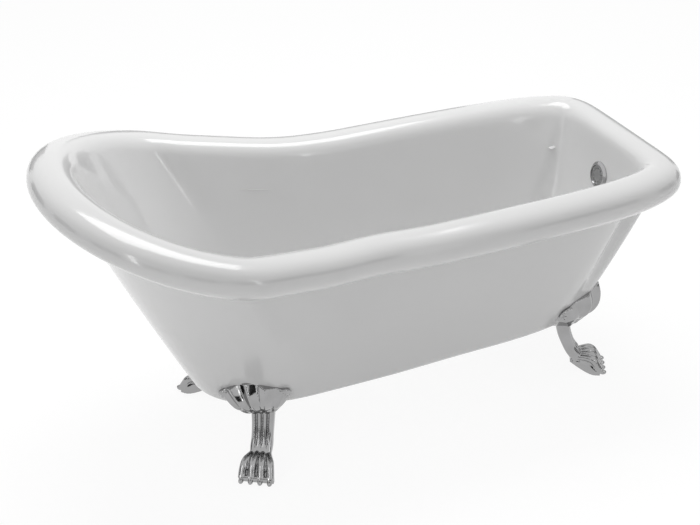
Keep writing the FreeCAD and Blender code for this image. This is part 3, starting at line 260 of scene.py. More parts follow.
def grid_faces(rows, columns, wrap_rows):
    """Four-sided faces over closed rows, with the last row joined to the first or left open."""
    faces = []
    for r in range(rows if wrap_rows else rows - 1):
        for c in range(columns):
            low, high = r * columns, (r + 1) % rows * columns
            after = (c + 1) % columns
            faces.append((low + c, low + after, high + after, high + c))
    return faces


def ring_object(name, rows):
    """Closed skin whose last row meets its first."""
    rows = np.array(rows)
    return new_object(name, rows.reshape(-1, 3) * MM, grid_faces(len(rows), rows.shape[1], True))


def capped_object(name, rows):
    """Closed solid through a stack of closed rows."""
    rows = np.array(rows)
    count, columns = rows.shape[:2]
    faces = grid_faces(count, columns, False)
    faces += [tuple(range(columns)), tuple(range(columns * count - 1, columns * (count - 1) - 1, -1))]
    return new_object(name, rows.reshape(-1, 3) * MM, faces)


def apply_modifiers(obj):
    """Make what an object's modifiers do part of its mesh."""
    graph = bpy.context.evaluated_depsgraph_get()
    made = bpy.data.meshes.new_from_object(obj.evaluated_get(graph))
    old = obj.data
    obj.modifiers.clear()
    obj.data = made
    made.name = obj.name
    bpy.data.meshes.remove(old)


def joined(name, objects):
    """One object of the meshes of several, which are deleted."""
    work = bmesh.new()
    for obj in objects:
        obj.data.transform(obj.matrix_world)
        work.from_mesh(obj.data)
        bpy.data.objects.remove(obj)
    mesh = bpy.data.meshes.new(name)
    work.to_mesh(mesh)
    work.free()
    obj = bpy.data.objects.new(name, mesh)
    bpy.context.scene.collection.objects.link(obj)
    return obj


def cut(obj, cutter):
    """Cut a closed cutter out of obj and delete it."""
    modifier = obj.modifiers.new("cut", "BOOLEAN")
    modifier.operation = "DIFFERENCE"
    modifier.solver = "EXACT"
    modifier.object = cutter
    apply_modifiers(obj)
    bpy.data.objects.remove(cutter)


def post(name, x, y, low, high, radius, sides=48):
    """Upright round cutter."""
    angle = np.arange(sides) * 2.0 * np.pi / sides
    circle = np.column_stack([x + radius * np.cos(angle), y + radius * np.sin(angle)])
    return capped_object(name, [raised(circle, low), raised(circle, high)])


def soft_edges(obj, degrees=38.0):
    """Smooth shading that breaks at edges sharper than an angle."""
    obj.data.shade_smooth()
    obj.data.set_sharp_from_angle(angle=math.radians(degrees))


# ----------------------------------------------------------------------------------------- the skins ----
WELL_STEPS = (12, 14, 14, 18, 14)     # mesh rows in each curve of the section
SKIRT_STEPS = (18, 10)
FLOOR_ROWS = 8                        # mesh rows from a floor's edge to its hole
OVERFLOW_DRILL_REACH = 20.0
SEAT_READINGS = 2001                  # places read down the end wall to find the overflow's
SKIRT_DRILL_DEPTH, SKIRT_DRILL_RISE = 6.0, 10.0


def overflow_seat():
    """Where the overflow's axis leaves the well's end wall, and the wall's lean there."""
    rings = well_rings()
    start, control, end = [ring[STATIONS // 2] for ring in rings[6:9]]
    share = np.linspace(0.0, 1.0, SEAT_READINGS)[:, None]
    points = start * (1 - share) ** 2 + control * (2 * share * (1 - share)) + end * share ** 2
    k = int(np.argmin(np.abs(points[:, 2] - OVERFLOW_HEIGHT)))
    along = points[k + 1] - points[k - 1]
    return points[k], math.atan2(abs(along[0]), abs(along[2]))


def make_shell():
    """Acrylic sheet of the well and its rolled rim, with the waste and overflow holes."""
    rings = well_rings()
    back_rings = ring_offset(rings, WELL_WALL)
    level_lip(rings, back_rings, WELL_WALL)
    front = swept_rows(rings, WELL_STEPS)
    back = swept_rows(back_rings, WELL_STEPS)
    front += rows_to_hole(front[-1], DRAIN_X, DRAIN_HOLE, FLOOR_ROWS)
    back += rows_to_hole(back[-1], DRAIN_X, DRAIN_HOLE, FLOOR_ROWS)
    shell = ring_object("bath_shell", front + back[::-1])
    point, lean = overflow_seat()
    drill = post("overflow_drill", 0.0, 0.0, -OVERFLOW_DRILL_REACH, OVERFLOW_DRILL_REACH, OVERFLOW_HOLE)
    turn = Matrix.Rotation(lean - math.pi / 2.0, 4, "Y")
    drill.data.transform(Matrix.Translation(Vector(point) * MM) @ turn)
    cut(shell, drill)
    return shell


def foot_holes():
    """Plan places of the eight screws that hold the feet."""
    holes = []
    for toe_x, toe_y, yaw, _ in FOOT_STANDS.values():
        for reach in SCREW_REACHES:
            holes.append((toe_x - reach * math.cos(yaw), toe_y - reach * math.sin(yaw)))
    return holes


def make_skirt():
    """Outer skin, with the holes in its floor."""
    rings = skirt_rings()
    back_rings = ring_offset(rings, -SKIRT_WALL)
    level_lip(rings, back_rings, SKIRT_WALL)
    front = swept_rows(rings, SKIRT_STEPS)
    back = swept_rows(back_rings, SKIRT_STEPS)
    front += rows_to_hole(front[-1], DRAIN_X, BOARD_HOLE, FLOOR_ROWS)
    back += rows_to_hole(back[-1], DRAIN_X, BOARD_HOLE, FLOOR_ROWS)
    skirt = ring_object("bath_skirt", front + back[::-1])
    low, high = BASE_HEIGHT - SKIRT_DRILL_DEPTH, BASE_HEIGHT + SKIRT_DRILL_RISE
    drills = [post("pipe_drill", PIPE_X, 0.0, low, high, PIPE_HOLE)]
    drills += [post("screw_drill", x, y, low, high, SCREW_HOLE) for x, y in foot_holes()]
    cut(skirt, joined("skirt_drills", drills))
    return skirt


# ------------------------------------------------------------------------------------------ the feet ----
# A foot's own frame: X points out over the toes, Z is up and the toe line stands at X = 0.
# A stand is the toe line's middle, the foot's heading, and how far aside the leaf's tip leans.
FOOT_STANDS = {
    "head_left": (-382.0, 241.0, math.radians(124.0), 28.0),
    "head_right": (-382.0, -241.0, math.radians(-124.0), -28.0),
    "end_left": (640.0, 147.0, math.radians(27.0), -24.0),
    "end_right": (640.0, -147.0, math.radians(-27.0), 24.0),
}
SEAT_GAP = 0.3
SCREW_REACHES = (158.0, 206.0)
FOOT_VOXEL = 1.5
SOFTENING, SOFTENING_PASSES = 0.5, 2
FOOT_CREASE = 50.0                              # degrees, from which an edge is drawn sharp

# mesh of a foot's pieces before they are joined: points round a row or along a path, and how many
# rows ease from one row of a table to the next
LEG_POINTS, PALM_POINTS, LEDGE_POINTS, SCROLL_POINTS = 160, 40, 12, 34
LEG_EASING, PAW_EASING = 12, 6
LEAF_COLUMNS, LEAF_LEVELS = 97, 33

# leg: height, rear edge, front edge, share of its half width
LEG_ROWS = ((152, -138, -98, 1.06), (110, -128, -91, 0.98), (78, -115, -79, 0.95),
            (56, -104, -64, 0.98), (38, -92, -50, 0.90), (27, -84, -44, 0.80))
LEG_HALF, LEG_SQUARENESS = 27.5, 3.4
FLUTE_DEPTH, FLUTE_SHARE = 8.0, 0.68            # share of the half width that holds the flutes
FLUTE_PITCH, FLUTE_SWING, FLUTE_LIFT = 0.5, 1.15, 0.15   # of the cosine that is clipped to make them
FLUTE_FOOT, FLUTE_FOOT_RUN = 57.0, 12.0         # where the flutes begin, and how soon they are full
FLUTE_TOP, FLUTE_TOP_RUN = 143.0, 7.0

# palm of the paw, under the toes: reach, share of its half width, underside, height
PALM_ROWS = ((-90, 0.46, 27, 36), (-70, 0.60, 15, 44), (-50, 0.74, 5, 44), (-34, 0.86, 0, 38),
             (-20, 0.93, 0, 22), (-12, 0.93, 0, 13))
PAW_HALF, PALM_SQUARENESS = 46.0, 3.2
TOES = 4
# toe: reach, share of its place across, height of its middle, radius
TOE_ROWS = ((-72, 0.55, 45, 7.6), (-54, 0.68, 47, 8.6), (-38, 0.84, 46, 9.3), (-27, 0.92, 38, 9.4),
            (-18, 0.98, 23, 9.3), (-11, 1.00, 12, 8.6))
OUTER_TOE_CROWN = 0.95                          # height of the outer toes against the inner two
CLAW_REACH, CLAW_HEIGHT, CLAW_RADII = -4.0, 7.0, (9.5, 6.4, 6.9)
LEDGE_REACH, LEDGE_HEIGHT, LEDGE_INSET, LEDGE_RADIUS = -9.0, 15.0, 6.0, 4.6

# leaf: half width, tip, lower edge, how far its shoulders droop and its lower edge climbs
LEAF_HALF, LEAF_TIP, LEAF_FOOT, LEAF_DROOP, LEAF_CLIMB = 76.0, 241.0, 139.0, 34.0, 62.0
LEAF_EDGE, LEAF_ROOT, LEAF_SWELL, LEAF_DEPTH = 7.0, 10.0, 29.0, 40.0
FOLD_DEPTH, FOLD_PITCH, FOLD_CENTRE = 17.0, 0.30, 96.0
LEAF_POWERS = {"droop": 1.4, "swell": 0.8, "fold": 0.6, "edge": 3}
SCALLOP_SHARE, SCALLOP_RISE = 0.34, 6.0
SCROLL_ACROSS, SCROLL_HEIGHT, SCROLL_TURNS, SCROLL_START = 69.0, 198.0, 1.35, -0.6
SCROLL_RADII, SCROLL_THICKNESS = (12.5, 4.5), (4.4, 3.2)
SCROLL_PROUD, SCROLL_LIFT, SCROLL_LEAN = 7.0, 5.0, 0.55
# stem of a scroll: share of the leaf's lean, place across, height, radius
STEM_ROWS = ((0.10, 29.0, 154.0, 4.0), (0.25, 50.0, 169.0, 4.6), (0.45, 70.0, 186.0, 4.4))
STEM_PROUD = 9.0

FLANGE = {"half": 31.0, "rear": -220.0, "front": -112.0, "depth": 8.0, "rise": 2.0}
SCREW_BORE_DEPTH, SCREW_BORE_RISE = 14.0, 8.0
LEVELLER_REACH = -34.0
PAD_RECESS_RADIUS, PAD_RECESS_FOOT, PAD_RECESS_TOP = 14.0, -2.0, 8.0
PIN_BORE_RADIUS, PIN_BORE_FOOT, PIN_BORE_TOP = 5.1, 6.0, 32.0


def through(rows, count):
    """Rows eased through a table's own rows, count steps from each to the next."""
    table = np.array(rows, float)
    ends = np.vstack([2 * table[0] - table[1], table, 2 * table[-1] - table[-2]])
    eased = []
    for i in range(len(table) - 1):
        p0, p1, p2, p3 = ends[i:i + 4]
        for k in range(count):
            t = k / count
            eased.append(0.5 * (2 * p1 + (p2 - p0) * t + (2 * p0 - 5 * p1 + 4 * p2 - p3) * t ** 2
                                + (3 * p1 - p0 - 3 * p2 + p3) * t ** 3))
    return np.array(eased + [table[-1]])


def oval(half_x, half_y, power, sides):
    """Superellipse outline round the origin."""
    angle = np.arange(sides) * 2.0 * np.pi / sides
    c, s = np.cos(angle), np.sin(angle)
    x = half_x * np.sign(c) * np.abs(c) ** (2.0 / power)
    y = half_y * np.sign(s) * np.abs(s) ** (2.0 / power)
    return x, y


def leg_piece():
    """Cabriole leg: smooth behind, four ridges and three deep flutes in front."""
    rows = []
    for height, rear, front, share in through(LEG_ROWS, LEG_EASING):
        half = LEG_HALF * share
        x, y = oval((front - rear) / 2.0, half, LEG_SQUARENESS, LEG_POINTS)
        across = y / half
        flute = np.clip(FLUTE_SWING * np.cos(2.0 * np.pi * across / FLUTE_PITCH) + FLUTE_LIFT, 0.0, 1.0)
        flute *= (np.abs(across) < FLUTE_SHARE) & (x > 0.0)
        along = (smooth_step((height - FLUTE_FOOT) / FLUTE_FOOT_RUN)
                 * smooth_step((FLUTE_TOP - height) / FLUTE_TOP_RUN))
        x = (front + rear) / 2.0 + x - FLUTE_DEPTH * along * flute
        rows.append(np.column_stack([x, y, np.full(len(x), height)]))
    return capped_object("leg", rows)


def palm_piece():
    """Body of the paw under the toes, with the heel lifted off the floor."""
    rows = []
    angle = np.linspace(0.0, np.pi, PALM_POINTS)
    c, s = np.cos(angle), np.abs(np.sin(angle))
    for reach, share, under, height in through(PALM_ROWS, PAW_EASING):
        y = PAW_HALF * share * np.sign(c) * np.abs(c) ** (2.0 / PALM_SQUARENESS)
        z = under + (height - under) * s ** (2.0 / PALM_SQUARENESS)
        rows.append(np.column_stack([np.full(len(y), reach), y, z]))
    return capped_object("palm", rows)


TUBE_TWIST = (0.31, 0.17, 0.93)        # no path runs along this, so it can set each ring's start
BLUNT_REACH, BLUNT_SHARE = 0.5, 0.6    # a blunt end's length and width, in radii
POLE_TILT = 1.45                       # radians from a ball's equator to its last rows


def tube(name, path, radii, sides=28):
    """Round solid along a path, closed by blunt ends."""
    path = np.array(path, float)
    tangent = unit(np.gradient(path, axis=0))
    side = unit(np.cross(tangent, TUBE_TWIST))
    up = np.cross(side, tangent)
    angle = np.arange(sides) * 2.0 * np.pi / sides
    rows = []
    for p, a, b, r in zip(path, side, up, radii):
        rows.append(p + r * (np.outer(np.cos(angle), a) + np.outer(np.sin(angle), b)))
    first = path[0] - tangent[0] * radii[0] * BLUNT_REACH
    last = path[-1] + tangent[-1] * radii[-1] * BLUNT_REACH
    rows.insert(0, first + (rows[0] - path[0]) * BLUNT_SHARE)
    rows.append(last + (rows[-1] - path[-1]) * BLUNT_SHARE)
    return capped_object(name, rows)


def ball(name, centre, radii, sides=32):
    """Ellipsoid built of level rows."""
    rows = []
    angle = np.arange(sides) * 2.0 * np.pi / sides
    for tilt in np.linspace(-POLE_TILT, POLE_TILT, sides // 2):
        flat = math.cos(tilt)
        rows.append(np.column_stack([centre[0] + radii[0] * flat * np.cos(angle),
                                     centre[1] + radii[1] * flat * np.sin(angle),
                                     np.full(sides, centre[2] + radii[2] * math.sin(tilt))]))
    return capped_object(name, rows)


def toe_pieces():
    """Four toes, the ledge that ties them and a claw under each."""
    pieces = []
    pitch = 2.0 * PAW_HALF / TOES
    for toe in range(TOES):
        across = pitch * (toe - (TOES - 1) / 2.0)
        crown = 1.0 if 0 < toe < TOES - 1 else OUTER_TOE_CROWN
        rows = through(TOE_ROWS, PAW_EASING)
        path = np.column_stack([rows[:, 0], across * rows[:, 1], rows[:, 2] * crown])
        pieces.append(tube("toe", path, rows[:, 3]))
        pieces.append(ball("claw", (CLAW_REACH, across, CLAW_HEIGHT), CLAW_RADII))
    ledge = np.linspace(LEDGE_INSET - PAW_HALF, PAW_HALF - LEDGE_INSET, LEDGE_POINTS)
    path = [(LEDGE_REACH, y, LEDGE_HEIGHT) for y in ledge]
    pieces.append(tube("ledge", path, [LEDGE_RADIUS] * len(ledge)))
    return pieces


def leaf_piece(face, lean):
    """Leaf laid on the skirt: folds that spread from the leg, and a scalloped lower edge."""
    rows = []
    for across in np.linspace(-1.0, 1.0, LEAF_COLUMNS):
        side = abs(across)
        scallop = abs(math.sin(2.0 * math.pi * min(side, SCALLOP_SHARE) / SCALLOP_SHARE))
        low = LEAF_FOOT + SCALLOP_RISE * scallop + LEAF_CLIMB * max(side - SCALLOP_SHARE, 0.0)
        top = LEAF_TIP - LEAF_DROOP * side ** LEAF_POWERS["droop"]
        z = np.linspace(low, top, LEAF_LEVELS)
        rise = (z - LEAF_FOOT) / (LEAF_TIP - LEAF_FOOT)
        y = LEAF_HALF * across + lean * rise
        turn = np.arctan2(LEAF_HALF * across, z - FOLD_CENTRE) / FOLD_PITCH
        crease = np.abs((turn + 0.5) % 1.0 - 0.5) * 2.0
        swell = LEAF_ROOT * (1.0 - rise) + LEAF_SWELL * np.sin(np.pi * rise ** LEAF_POWERS["swell"])
        fold = FOLD_DEPTH * crease * rise ** LEAF_POWERS["fold"]
        out = LEAF_EDGE + (1.0 - side ** LEAF_POWERS["edge"]) * swell - fold
        skirt_x = np.array([face(*spot) for spot in zip(y, z)])
        front = np.column_stack([skirt_x + out, y, z])
        back = np.column_stack([skirt_x - LEAF_DEPTH, y, z])
        rows.append(np.vstack([front, back[::-1]]))
    return capped_object("leaf", rows)


def leaf_trim(face, lean):
    """Scrolls at the leaf's two sides and the stems that lead to them."""
    pieces = []
    turns = np.linspace(0.0, 1.0, SCROLL_POINTS)
    angle = turns * 2.0 * np.pi * SCROLL_TURNS + SCROLL_START
    radius = SCROLL_RADII[0] + (SCROLL_RADII[1] - SCROLL_RADII[0]) * turns
    thickness = SCROLL_THICKNESS[0] + (SCROLL_THICKNESS[1] - SCROLL_THICKNESS[0]) * turns
    for side in (-1, 1):
        y = lean * SCROLL_LEAN + side * (SCROLL_ACROSS + radius * np.cos(angle))
        z = SCROLL_HEIGHT + radius * np.sin(angle)
        x = np.array([face(*spot) for spot in zip(y, z)]) + SCROLL_PROUD + SCROLL_LIFT * turns
        pieces.append(tube("scroll", np.column_stack([x, y, z]), thickness))
        stem = []
        for share, across, height, _ in STEM_ROWS:
            y = lean * share + side * across
            stem.append((face(y, height) + STEM_PROUD, y, height))
        pieces.append(tube("scroll_stem", stem, [row[3] for row in STEM_ROWS]))
    return pieces


def flange_piece():
    """Plate under the bath's base that the foot's two screws pass through."""
    half, rear, front = FLANGE["half"], FLANGE["rear"], FLANGE["front"]
    outline = np.array([(rear, -half), (front, -half), (front, half), (rear, half)])
    return capped_object("flange", [raised(outline, BASE_HEIGHT - FLANGE["depth"]),
                                    raised(outline, BASE_HEIGHT + FLANGE["rise"])])


def make_casting(face, lean):
    """One foot in its own frame: leg, paw, leaf and flange as one smooth casting, with its bores."""
    pieces = [leg_piece(), palm_piece(), leaf_piece(face, lean), flange_piece(), *toe_pieces(),
              *leaf_trim(face, lean)]
    casting = joined("casting", pieces)
    remesh = casting.modifiers.new("remesh", "REMESH")
    remesh.mode = "VOXEL"
    remesh.voxel_size = FOOT_VOXEL * MM
    soften = casting.modifiers.new("soften", "SMOOTH")
    soften.factor = SOFTENING
    soften.iterations = SOFTENING_PASSES
    apply_modifiers(casting)
    vertices = casting.data.vertices
    co = np.zeros(len(vertices) * 3)
    vertices.foreach_get("co", co)
    co = co.reshape(-1, 3)
    co[:, 2] = np.maximum(co[:, 2], 0.0)
    vertices.foreach_set("co", co.ravel())
    low, high = BASE_HEIGHT - SCREW_BORE_DEPTH, BASE_HEIGHT + SCREW_BORE_RISE
    bores = [post("bore", -reach, 0.0, low, high, SCREW_HOLE) for reach in SCREW_REACHES]
    cut(casting, joined("flange_bores", bores))
    cut(casting, post("recess", LEVELLER_REACH, 0.0, PAD_RECESS_FOOT, PAD_RECESS_TOP, PAD_RECESS_RADIUS))
    cut(casting, post("pin_bore", LEVELLER_REACH, 0.0, PIN_BORE_FOOT, PIN_BORE_TOP, PIN_BORE_RADIUS))
    return casting


def seat_volume():
    """Everything inside the skirt's face, grown by the seat gap."""
    rings = skirt_rings()
    grown = []
    for ring, moved in zip(rings, ring_offset(rings, SEAT_GAP)):
        grown.append(np.column_stack([moved[:, :2], ring[:, 2]]))
    rows = swept_rows(grown, SKIRT_STEPS)
    crown = rows[0].copy()
    crown[:, 2] = HEAD_HEIGHT
    return capped_object("seat", [crown] + rows)


def face_reader(seat, stand):
    """A function that says how far out, in a foot's frame, the skirt's face lies at a place."""
    tree = BVHTree.FromPolygons([v.co for v in seat.data.vertices], [p.vertices for p in seat.data.polygons])
    inward = stand.to_3x3() @ Vector((-1.0, 0.0, 0.0))
    start = 200.0                                 # clear of the bath on every side
    lowest = BASE_HEIGHT + 4.0                    # below this the skirt turns under

    def face(y, z):
        eye = stand @ (Vector((start, y, max(z, lowest))) * MM)
        return start - tree.ray_cast(eye, inward)[3] / MM

    return face


def make_feet():
    """The four castings, each cut to seat on the skirt."""
    feet = {}
    for name, (toe_x, toe_y, yaw, lean) in FOOT_STANDS.items():
        stand = Matrix.Translation(Vector((toe_x, toe_y, 0.0)) * MM) @ Matrix.Rotation(yaw, 4, "Z")
        seat = seat_volume()
        foot = make_casting(face_reader(seat, stand), lean)
        foot.name = "foot_" + name
        foot.data.transform(stand)
        cut(foot, seat)
        feet[name] = foot
    return feet


# ----------------------------------------------------------------------------------------- materials ----
NOISE_RANGE = (0.3, 0.7)               # where nearly all of a noise texture's values lie
COAT_ROUGHNESS = 0.04


def principled(name, colour, roughness, metallic=0.0, coat=0.0):
    """A material and its shader, with what is the same all over set on the shader."""
    material = bpy.data.materials.new(name)
    material.use_nodes = True
    shader = material.node_tree.nodes["Principled BSDF"]
    shader.inputs["Base Color"].default_value = (*colour, 1.0)
    shader.inputs["Roughness"].default_value = roughness
    shader.inputs["Metallic"].default_value = metallic
    shader.inputs["Coat Weight"].default_value = coat
    shader.inputs["Coat Roughness"].default_value = COAT_ROUGHNESS
    return material, shader


def noise(material, scale, detail=3.0):
    """Noise over the piece's own coordinates."""
    tree = material.node_tree
    texture = tree.nodes.new("ShaderNodeTexNoise")
    texture.inputs["Scale"].default_value = scale
    texture.inputs["Detail"].default_value = detail
    place_node = tree.nodes.new("ShaderNodeTexCoord")
    tree.links.new(place_node.outputs["Object"], texture.inputs["Vector"])
    return texture.outputs["Fac"]


def remapped(material, source, low, high):
    """A noise's usual range stretched over low to high."""
    node = material.node_tree.nodes.new("ShaderNodeMapRange")
    node.inputs["From Min"].default_value = NOISE_RANGE[0]
    node.inputs["From Max"].default_value = NOISE_RANGE[1]
    node.inputs["To Min"].default_value = low
    node.inputs["To Max"].default_value = high
    material.node_tree.links.new(source, node.inputs["Value"])
    return node.outputs["Result"]


def tint(material, shader, source, dark, light):
    """Base colour that drifts between two colours with a source."""
    ramp = material.node_tree.nodes.new("ShaderNodeValToRGB")
    ramp.color_ramp.elements[0].position = NOISE_RANGE[0]
    ramp.color_ramp.elements[0].color = (*dark, 1.0)
    ramp.color_ramp.elements[1].position = NOISE_RANGE[1]
    ramp.color_ramp.elements[1].color = (*light, 1.0)
    material.node_tree.links.new(source, ramp.inputs["Fac"])
    material.node_tree.links.new(ramp.outputs["Color"], shader.inputs["Base Color"])


def bump(material, shader, source, strength, distance):
    """Fine relief from a source, its height in metres."""
    node = material.node_tree.nodes.new("ShaderNodeBump")
    node.inputs["Strength"].default_value = strength
    node.inputs["Distance"].default_value = distance
    material.node_tree.links.new(source, node.inputs["Height"])
    material.node_tree.links.new(node.outputs["Normal"], shader.inputs["Normal"])


def rough_by(material, shader, source, low, high):
    """Roughness that drifts between two values with a source."""
    material.node_tree.links.new(remapped(material, source, low, high), shader.inputs["Roughness"])


def make_acrylic():
    """Gloss white acrylic with the faint ripple of a vacuum-formed sheet."""
    material, shader = principled("acrylic", (0.77, 0.77, 0.77), 0.16, coat=0.30)
    tint(material, shader, noise(material, 3.0), (0.760, 0.760, 0.760), (0.780, 0.780, 0.778))
    bump(material, shader, noise(material, 22.0, 1.0), 0.05, 0.0006)
    rough_by(material, shader, noise(material, 9.0), 0.13, 0.19)
    return material


def make_chrome(name, tone, roughness):
    """Polished chrome plate: a little cloudier in places, as over a polished casting."""
    material, shader = principled(name, (tone, tone, tone), roughness, metallic=1.0)
    tint(material, shader, noise(material, 26.0), (tone * 0.94,) * 3, (tone * 1.04, tone * 1.04, tone * 1.05))
    rough_by(material, shader, noise(material, 40.0), roughness * 0.7, roughness * 1.5)
    bump(material, shader, noise(material, 120.0, 1.0), 0.06, 0.0003)
    return material


def make_plain(name, dark, light, roughness, metallic, grain, depth):
    """A plain moulded, machined or plated surface with a fine grain."""
    material, shader = principled(name, light, roughness, metallic)
    tint(material, shader, noise(material, grain * 0.3), dark, light)
    bump(material, shader, noise(material, grain, 6.0), 0.35, depth)
    rough_by(material, shader, noise(material, grain * 0.5), roughness * 0.8, min(roughness * 1.25, 1.0))
    return material


def make_board():
    """Raw chipboard: flakes of three shades."""
    material, shader = principled("chipboard", (0.55, 0.40, 0.24), 0.8)
    tree = material.node_tree
    flakes = tree.nodes.new("ShaderNodeTexVoronoi")
    flakes.inputs["Scale"].default_value = 260.0
    where = tree.nodes.new("ShaderNodeTexCoord")
    tree.links.new(where.outputs["Object"], flakes.inputs["Vector"])
    shade = tree.nodes.new("ShaderNodeSeparateColor")
    tree.links.new(flakes.outputs["Color"], shade.inputs["Color"])
    tint(material, shader, shade.outputs["Red"], (0.36, 0.24, 0.13), (0.66, 0.50, 0.31))
    bump(material, shader, flakes.outputs["Distance"], 0.4, 0.0006)
    return material


acrylic = make_acrylic()
foot_chrome = make_chrome("foot_chrome", 0.36, 0.07)
trim_chrome = make_chrome("trim_chrome", 0.40, 0.06)
sealant = make_plain("sealant", (0.60, 0.60, 0.59), (0.66, 0.66, 0.65), 0.45, 0.0, 300.0, 0.0002)
rubber = make_plain("rubber", (0.018, 0.018, 0.018), (0.035, 0.035, 0.035), 0.65, 0.0, 500.0, 0.0002)
plastic = make_plain("waste_plastic", (0.62, 0.63, 0.62), (0.70, 0.71, 0.70), 0.4, 0.0, 400.0, 0.0002)
brass = make_plain("brass", (0.62, 0.43, 0.17), (0.74, 0.54, 0.25), 0.28, 1.0, 350.0, 0.0001)
zinc = make_plain("zinc", (0.42, 0.43, 0.45), (0.58, 0.59, 0.60), 0.32, 1.0, 300.0, 0.0001)
nylon = make_plain("nylon", (0.09, 0.09, 0.095), (0.15, 0.15, 0.155), 0.5, 0.0, 450.0, 0.0002)
chipboard = make_board()

NODE_MATERIALS = (
    (("drain_flange_seal", "drain_gasket", "outlet_seal", "plug_seal", "overflow_gasket"), rubber),
    (("drain_flange", "plug_cap", "overflow_cover", "overflow_grille"), trim_chrome),
    (("click_cartridge", "plug_stem", "board_insert"), brass),
    (("foot_screw", "foot_washer", "leveller_pin"), zinc),
    (("leveller_pad",), nylon),
    (("base_board",), chipboard),
    (("seam_bead",), sealant),
    (("drain_body", "slip_nut", "tailpiece", "overflow_nut", "overflow_elbow", "overflow_pipe",
      "elbow_pipe_nut", "inlet_pipe_nut"), plastic),
)


def paint(obj, material):
    """Give an object one material."""
    obj.data.materials.clear()
    obj.data.materials.append(material)


def dress_nodes():
    """A material for every CAD node that stays in view."""
    for name, node in nodes.items():
        for beginnings, material in NODE_MATERIALS:
            if name.startswith(beginnings):
                paint(node, material)
                break


# -------------------------------------------------------------------------------------- assembly ----
shell = make_shell()
skirt = make_skirt()
for obj, node in ((shell, "inner_shell"), (skirt, "outer_skirt")):
    soft_edges(obj)
    paint(obj, acrylic)
    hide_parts(node)
    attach(obj, "tub")
for name, foot in make_feet().items():
    soft_edges(foot, FOOT_CREASE)
    paint(foot, foot_chrome)
    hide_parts("claw_foot_" + name)
    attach(foot, "tub")
dress_nodes()


# ------------------------------------------------------------------------------ floor, world, lamps ----
def mixed(tree, share, first, second):
    """Mix of two shaders: the second's share is a number or a socket."""
    mix = tree.nodes.new("ShaderNodeMixShader")
    if isinstance(share, float):
        mix.inputs["Fac"].default_value = share
    else:
        tree.links.new(share, mix.inputs["Fac"])
    tree.links.new(first.outputs[0], mix.inputs[1])
    tree.links.new(second.outputs[0], mix.inputs[2])
    return mix


def seen_directly(tree):
    """Socket that is 1 for what the camera sees, also by reflection or through glass."""
    path = tree.nodes.new("ShaderNodeLightPath")
    found = path.outputs["Is Camera Ray"]
    for kind in ("Is Glossy Ray", "Is Transmission Ray"):
        either = tree.nodes.new("ShaderNodeMath")
        either.operation = "MAXIMUM"
        tree.links.new(found, either.inputs[0])
        tree.links.new(path.outputs[kind], either.inputs[1])
        found = either.outputs[0]
    return found


def shader_node(tree, kind, tone, strength=None):
    """Shader of one grey tone, with a strength where it gives light."""
    node = tree.nodes.new(kind)
    node.inputs["Color"].default_value = (tone, tone, tone, 1.0)
    if strength is not None:
        node.inputs["Strength"].default_value = strength
    return node


WORLD_LIGHT = 0.42                                          # strength of the light from all round
FLOOR_TONE = 0.93                                           # as the light on the bath meets it
SHOWN_TONE, SHOWN_GLOW, GLOW_SHARE = 0.95, 1.05, 0.86       # as the camera is shown it


def make_floor():
    """White studio floor: nearly shadowless to the camera, as in a cut-out picture."""
    size = 40.0                                  # metres
    floor = new_object("floor", [(-size, -size, 0), (size, -size, 0), (size, size, 0), (-size, size, 0)],
                       [(0, 1, 2, 3)])
    if floor.data.polygons[0].normal.z < 0.0:
        floor.data.flip_normals()
    material = bpy.data.materials.new("studio_floor")
    material.use_nodes = True
    tree = material.node_tree
    tree.nodes.clear()
    lit = shader_node(tree, "ShaderNodeBsdfDiffuse", FLOOR_TONE)
    bright = shader_node(tree, "ShaderNodeBsdfDiffuse", SHOWN_TONE)
    glow = shader_node(tree, "ShaderNodeEmission", 1.0, SHOWN_GLOW)
    shown = mixed(tree, GLOW_SHARE, bright, glow)
    out = tree.nodes.new("ShaderNodeOutputMaterial")
    tree.links.new(mixed(tree, seen_directly(tree), lit, shown).outputs[0], out.inputs["Surface"])
    paint(floor, material)
    return floor


def make_world(light_level):
    """White to the camera and to reflections, and a soft even light on everything."""
    world = bpy.data.worlds.new("studio")
    bpy.context.scene.world = world
    world.use_nodes = True
    tree = world.node_tree
    tree.nodes.clear()
    soft = shader_node(tree, "ShaderNodeBackground", 1.0, light_level)
    white = shader_node(tree, "ShaderNodeBackground", 1.0, 1.0)
    out = tree.nodes.new("ShaderNodeOutputWorld")
    tree.links.new(mixed(tree, seen_directly(tree), soft, white).outputs[0], out.inputs["Surface"])


def make_lamp(name, at, towards, size, power):
    """Rectangular soft box."""
    lamp = bpy.data.lights.new(name, "AREA")
    lamp.shape = "RECTANGLE"
    lamp.size, lamp.size_y = size
    lamp.energy = power
    obj = bpy.data.objects.new(name, lamp)
    bpy.context.scene.collection.objects.link(obj)
    obj.location = at
    obj.rotation_mode = "QUATERNION"
    obj.rotation_quaternion = (Vector(towards) - Vector(at)).to_track_quat("-Z", "Y")


CARD_RING, CARD_FOOT, CARD_TOP = 4.6, 0.02, 1.3             # metres
CARD_STEP, CARD_WIDTH = 30.0, 19.0                          # degrees round the ring


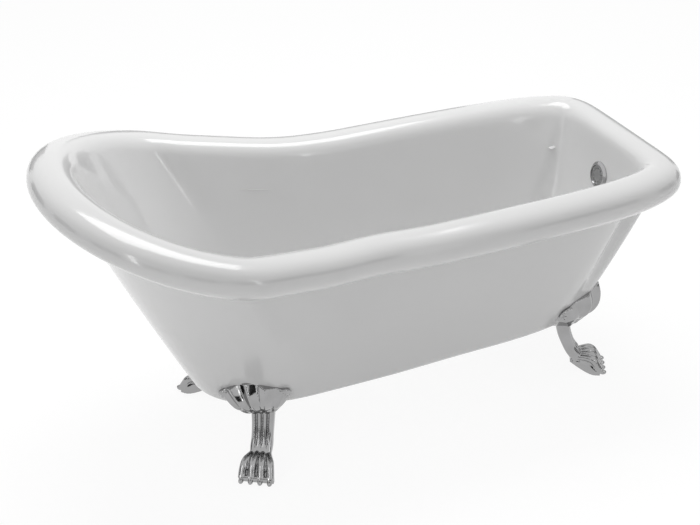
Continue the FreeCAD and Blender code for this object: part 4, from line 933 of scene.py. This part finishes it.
def make_cards():
    """Dark cards that stand round the bath and show only in reflections."""
    corners, faces = [], []
    for turn in range(int(360.0 / CARD_STEP)):
        for k in range(2):
            angle = math.radians(turn * CARD_STEP + k * CARD_WIDTH)
            x, y = CARD_RING * math.cos(angle), CARD_RING * math.sin(angle)
            corners += [(x, y, CARD_FOOT), (x, y, CARD_TOP)]
        first = 4 * turn
        faces.append((first, first + 2, first + 3, first + 1))
    mesh = bpy.data.meshes.new("dark_cards")
    mesh.from_pydata(corners, [], faces)
    cards = bpy.data.objects.new("dark_cards", mesh)
    bpy.context.scene.collection.objects.link(cards)
    paint(cards, principled("card_black", (0.02, 0.02, 0.02), 0.9)[0])
    cards.visible_camera = cards.visible_diffuse = cards.visible_shadow = False
    return cards


floor = make_floor()
make_cards()
make_world(WORLD_LIGHT)
make_lamp("soft_box_above", (0.2, 0.8, 3.2), (0.1, 0.0, 0.4), (2.4, 1.6), 54.0)
make_lamp("strip_left", (-3.0, -1.6, 1.2), (-0.3, -0.2, 0.3), (0.25, 1.8), 8.0)
make_lamp("strip_front", (1.3, -3.4, 1.0), (0.1, -0.2, 0.3), (0.25, 1.8), 5.0)

# ----------------------------------------------------------------------------------------- the camera ----
FOCAL_PIXELS = 1572.988               # at the photograph's width
PHOTO_WIDTH, PHOTO_HEIGHT = 700, 525
CENTRE_X, CENTRE_Y = 359.341, 276.914
AZIMUTH, ELEVATION, DISTANCE = math.radians(-24.767), math.radians(29.572), 3.8623
TARGET = Vector((0.0, 0.0, 0.35))


def make_camera():
    """Camera fitted to the rim and the feet in the photograph."""
    sight = bpy.data.cameras.new("photo_camera")
    sight.sensor_fit = "HORIZONTAL"
    sight.sensor_width = 36.0
    sight.lens = FOCAL_PIXELS * sight.sensor_width / PHOTO_WIDTH
    sight.shift_x = (PHOTO_WIDTH / 2 - CENTRE_X) / PHOTO_WIDTH
    sight.shift_y = (CENTRE_Y - PHOTO_HEIGHT / 2) / PHOTO_WIDTH
    camera = bpy.data.objects.new("photo_camera", sight)
    bpy.context.scene.collection.objects.link(camera)
    back = Vector((math.sin(AZIMUTH) * math.cos(ELEVATION), -math.cos(AZIMUTH) * math.cos(ELEVATION),
                   math.sin(ELEVATION)))
    right = Vector((math.cos(AZIMUTH), math.sin(AZIMUTH), 0.0))
    up = back.cross(right)
    turn = Matrix((right, up, back)).transposed().to_4x4()
    camera.matrix_world = Matrix.Translation(TARGET + back * DISTANCE) @ turn
    bpy.context.scene.camera = camera


make_camera()
bpy.context.scene.view_settings.view_transform = "Standard"

bpy.context.view_layer.update()
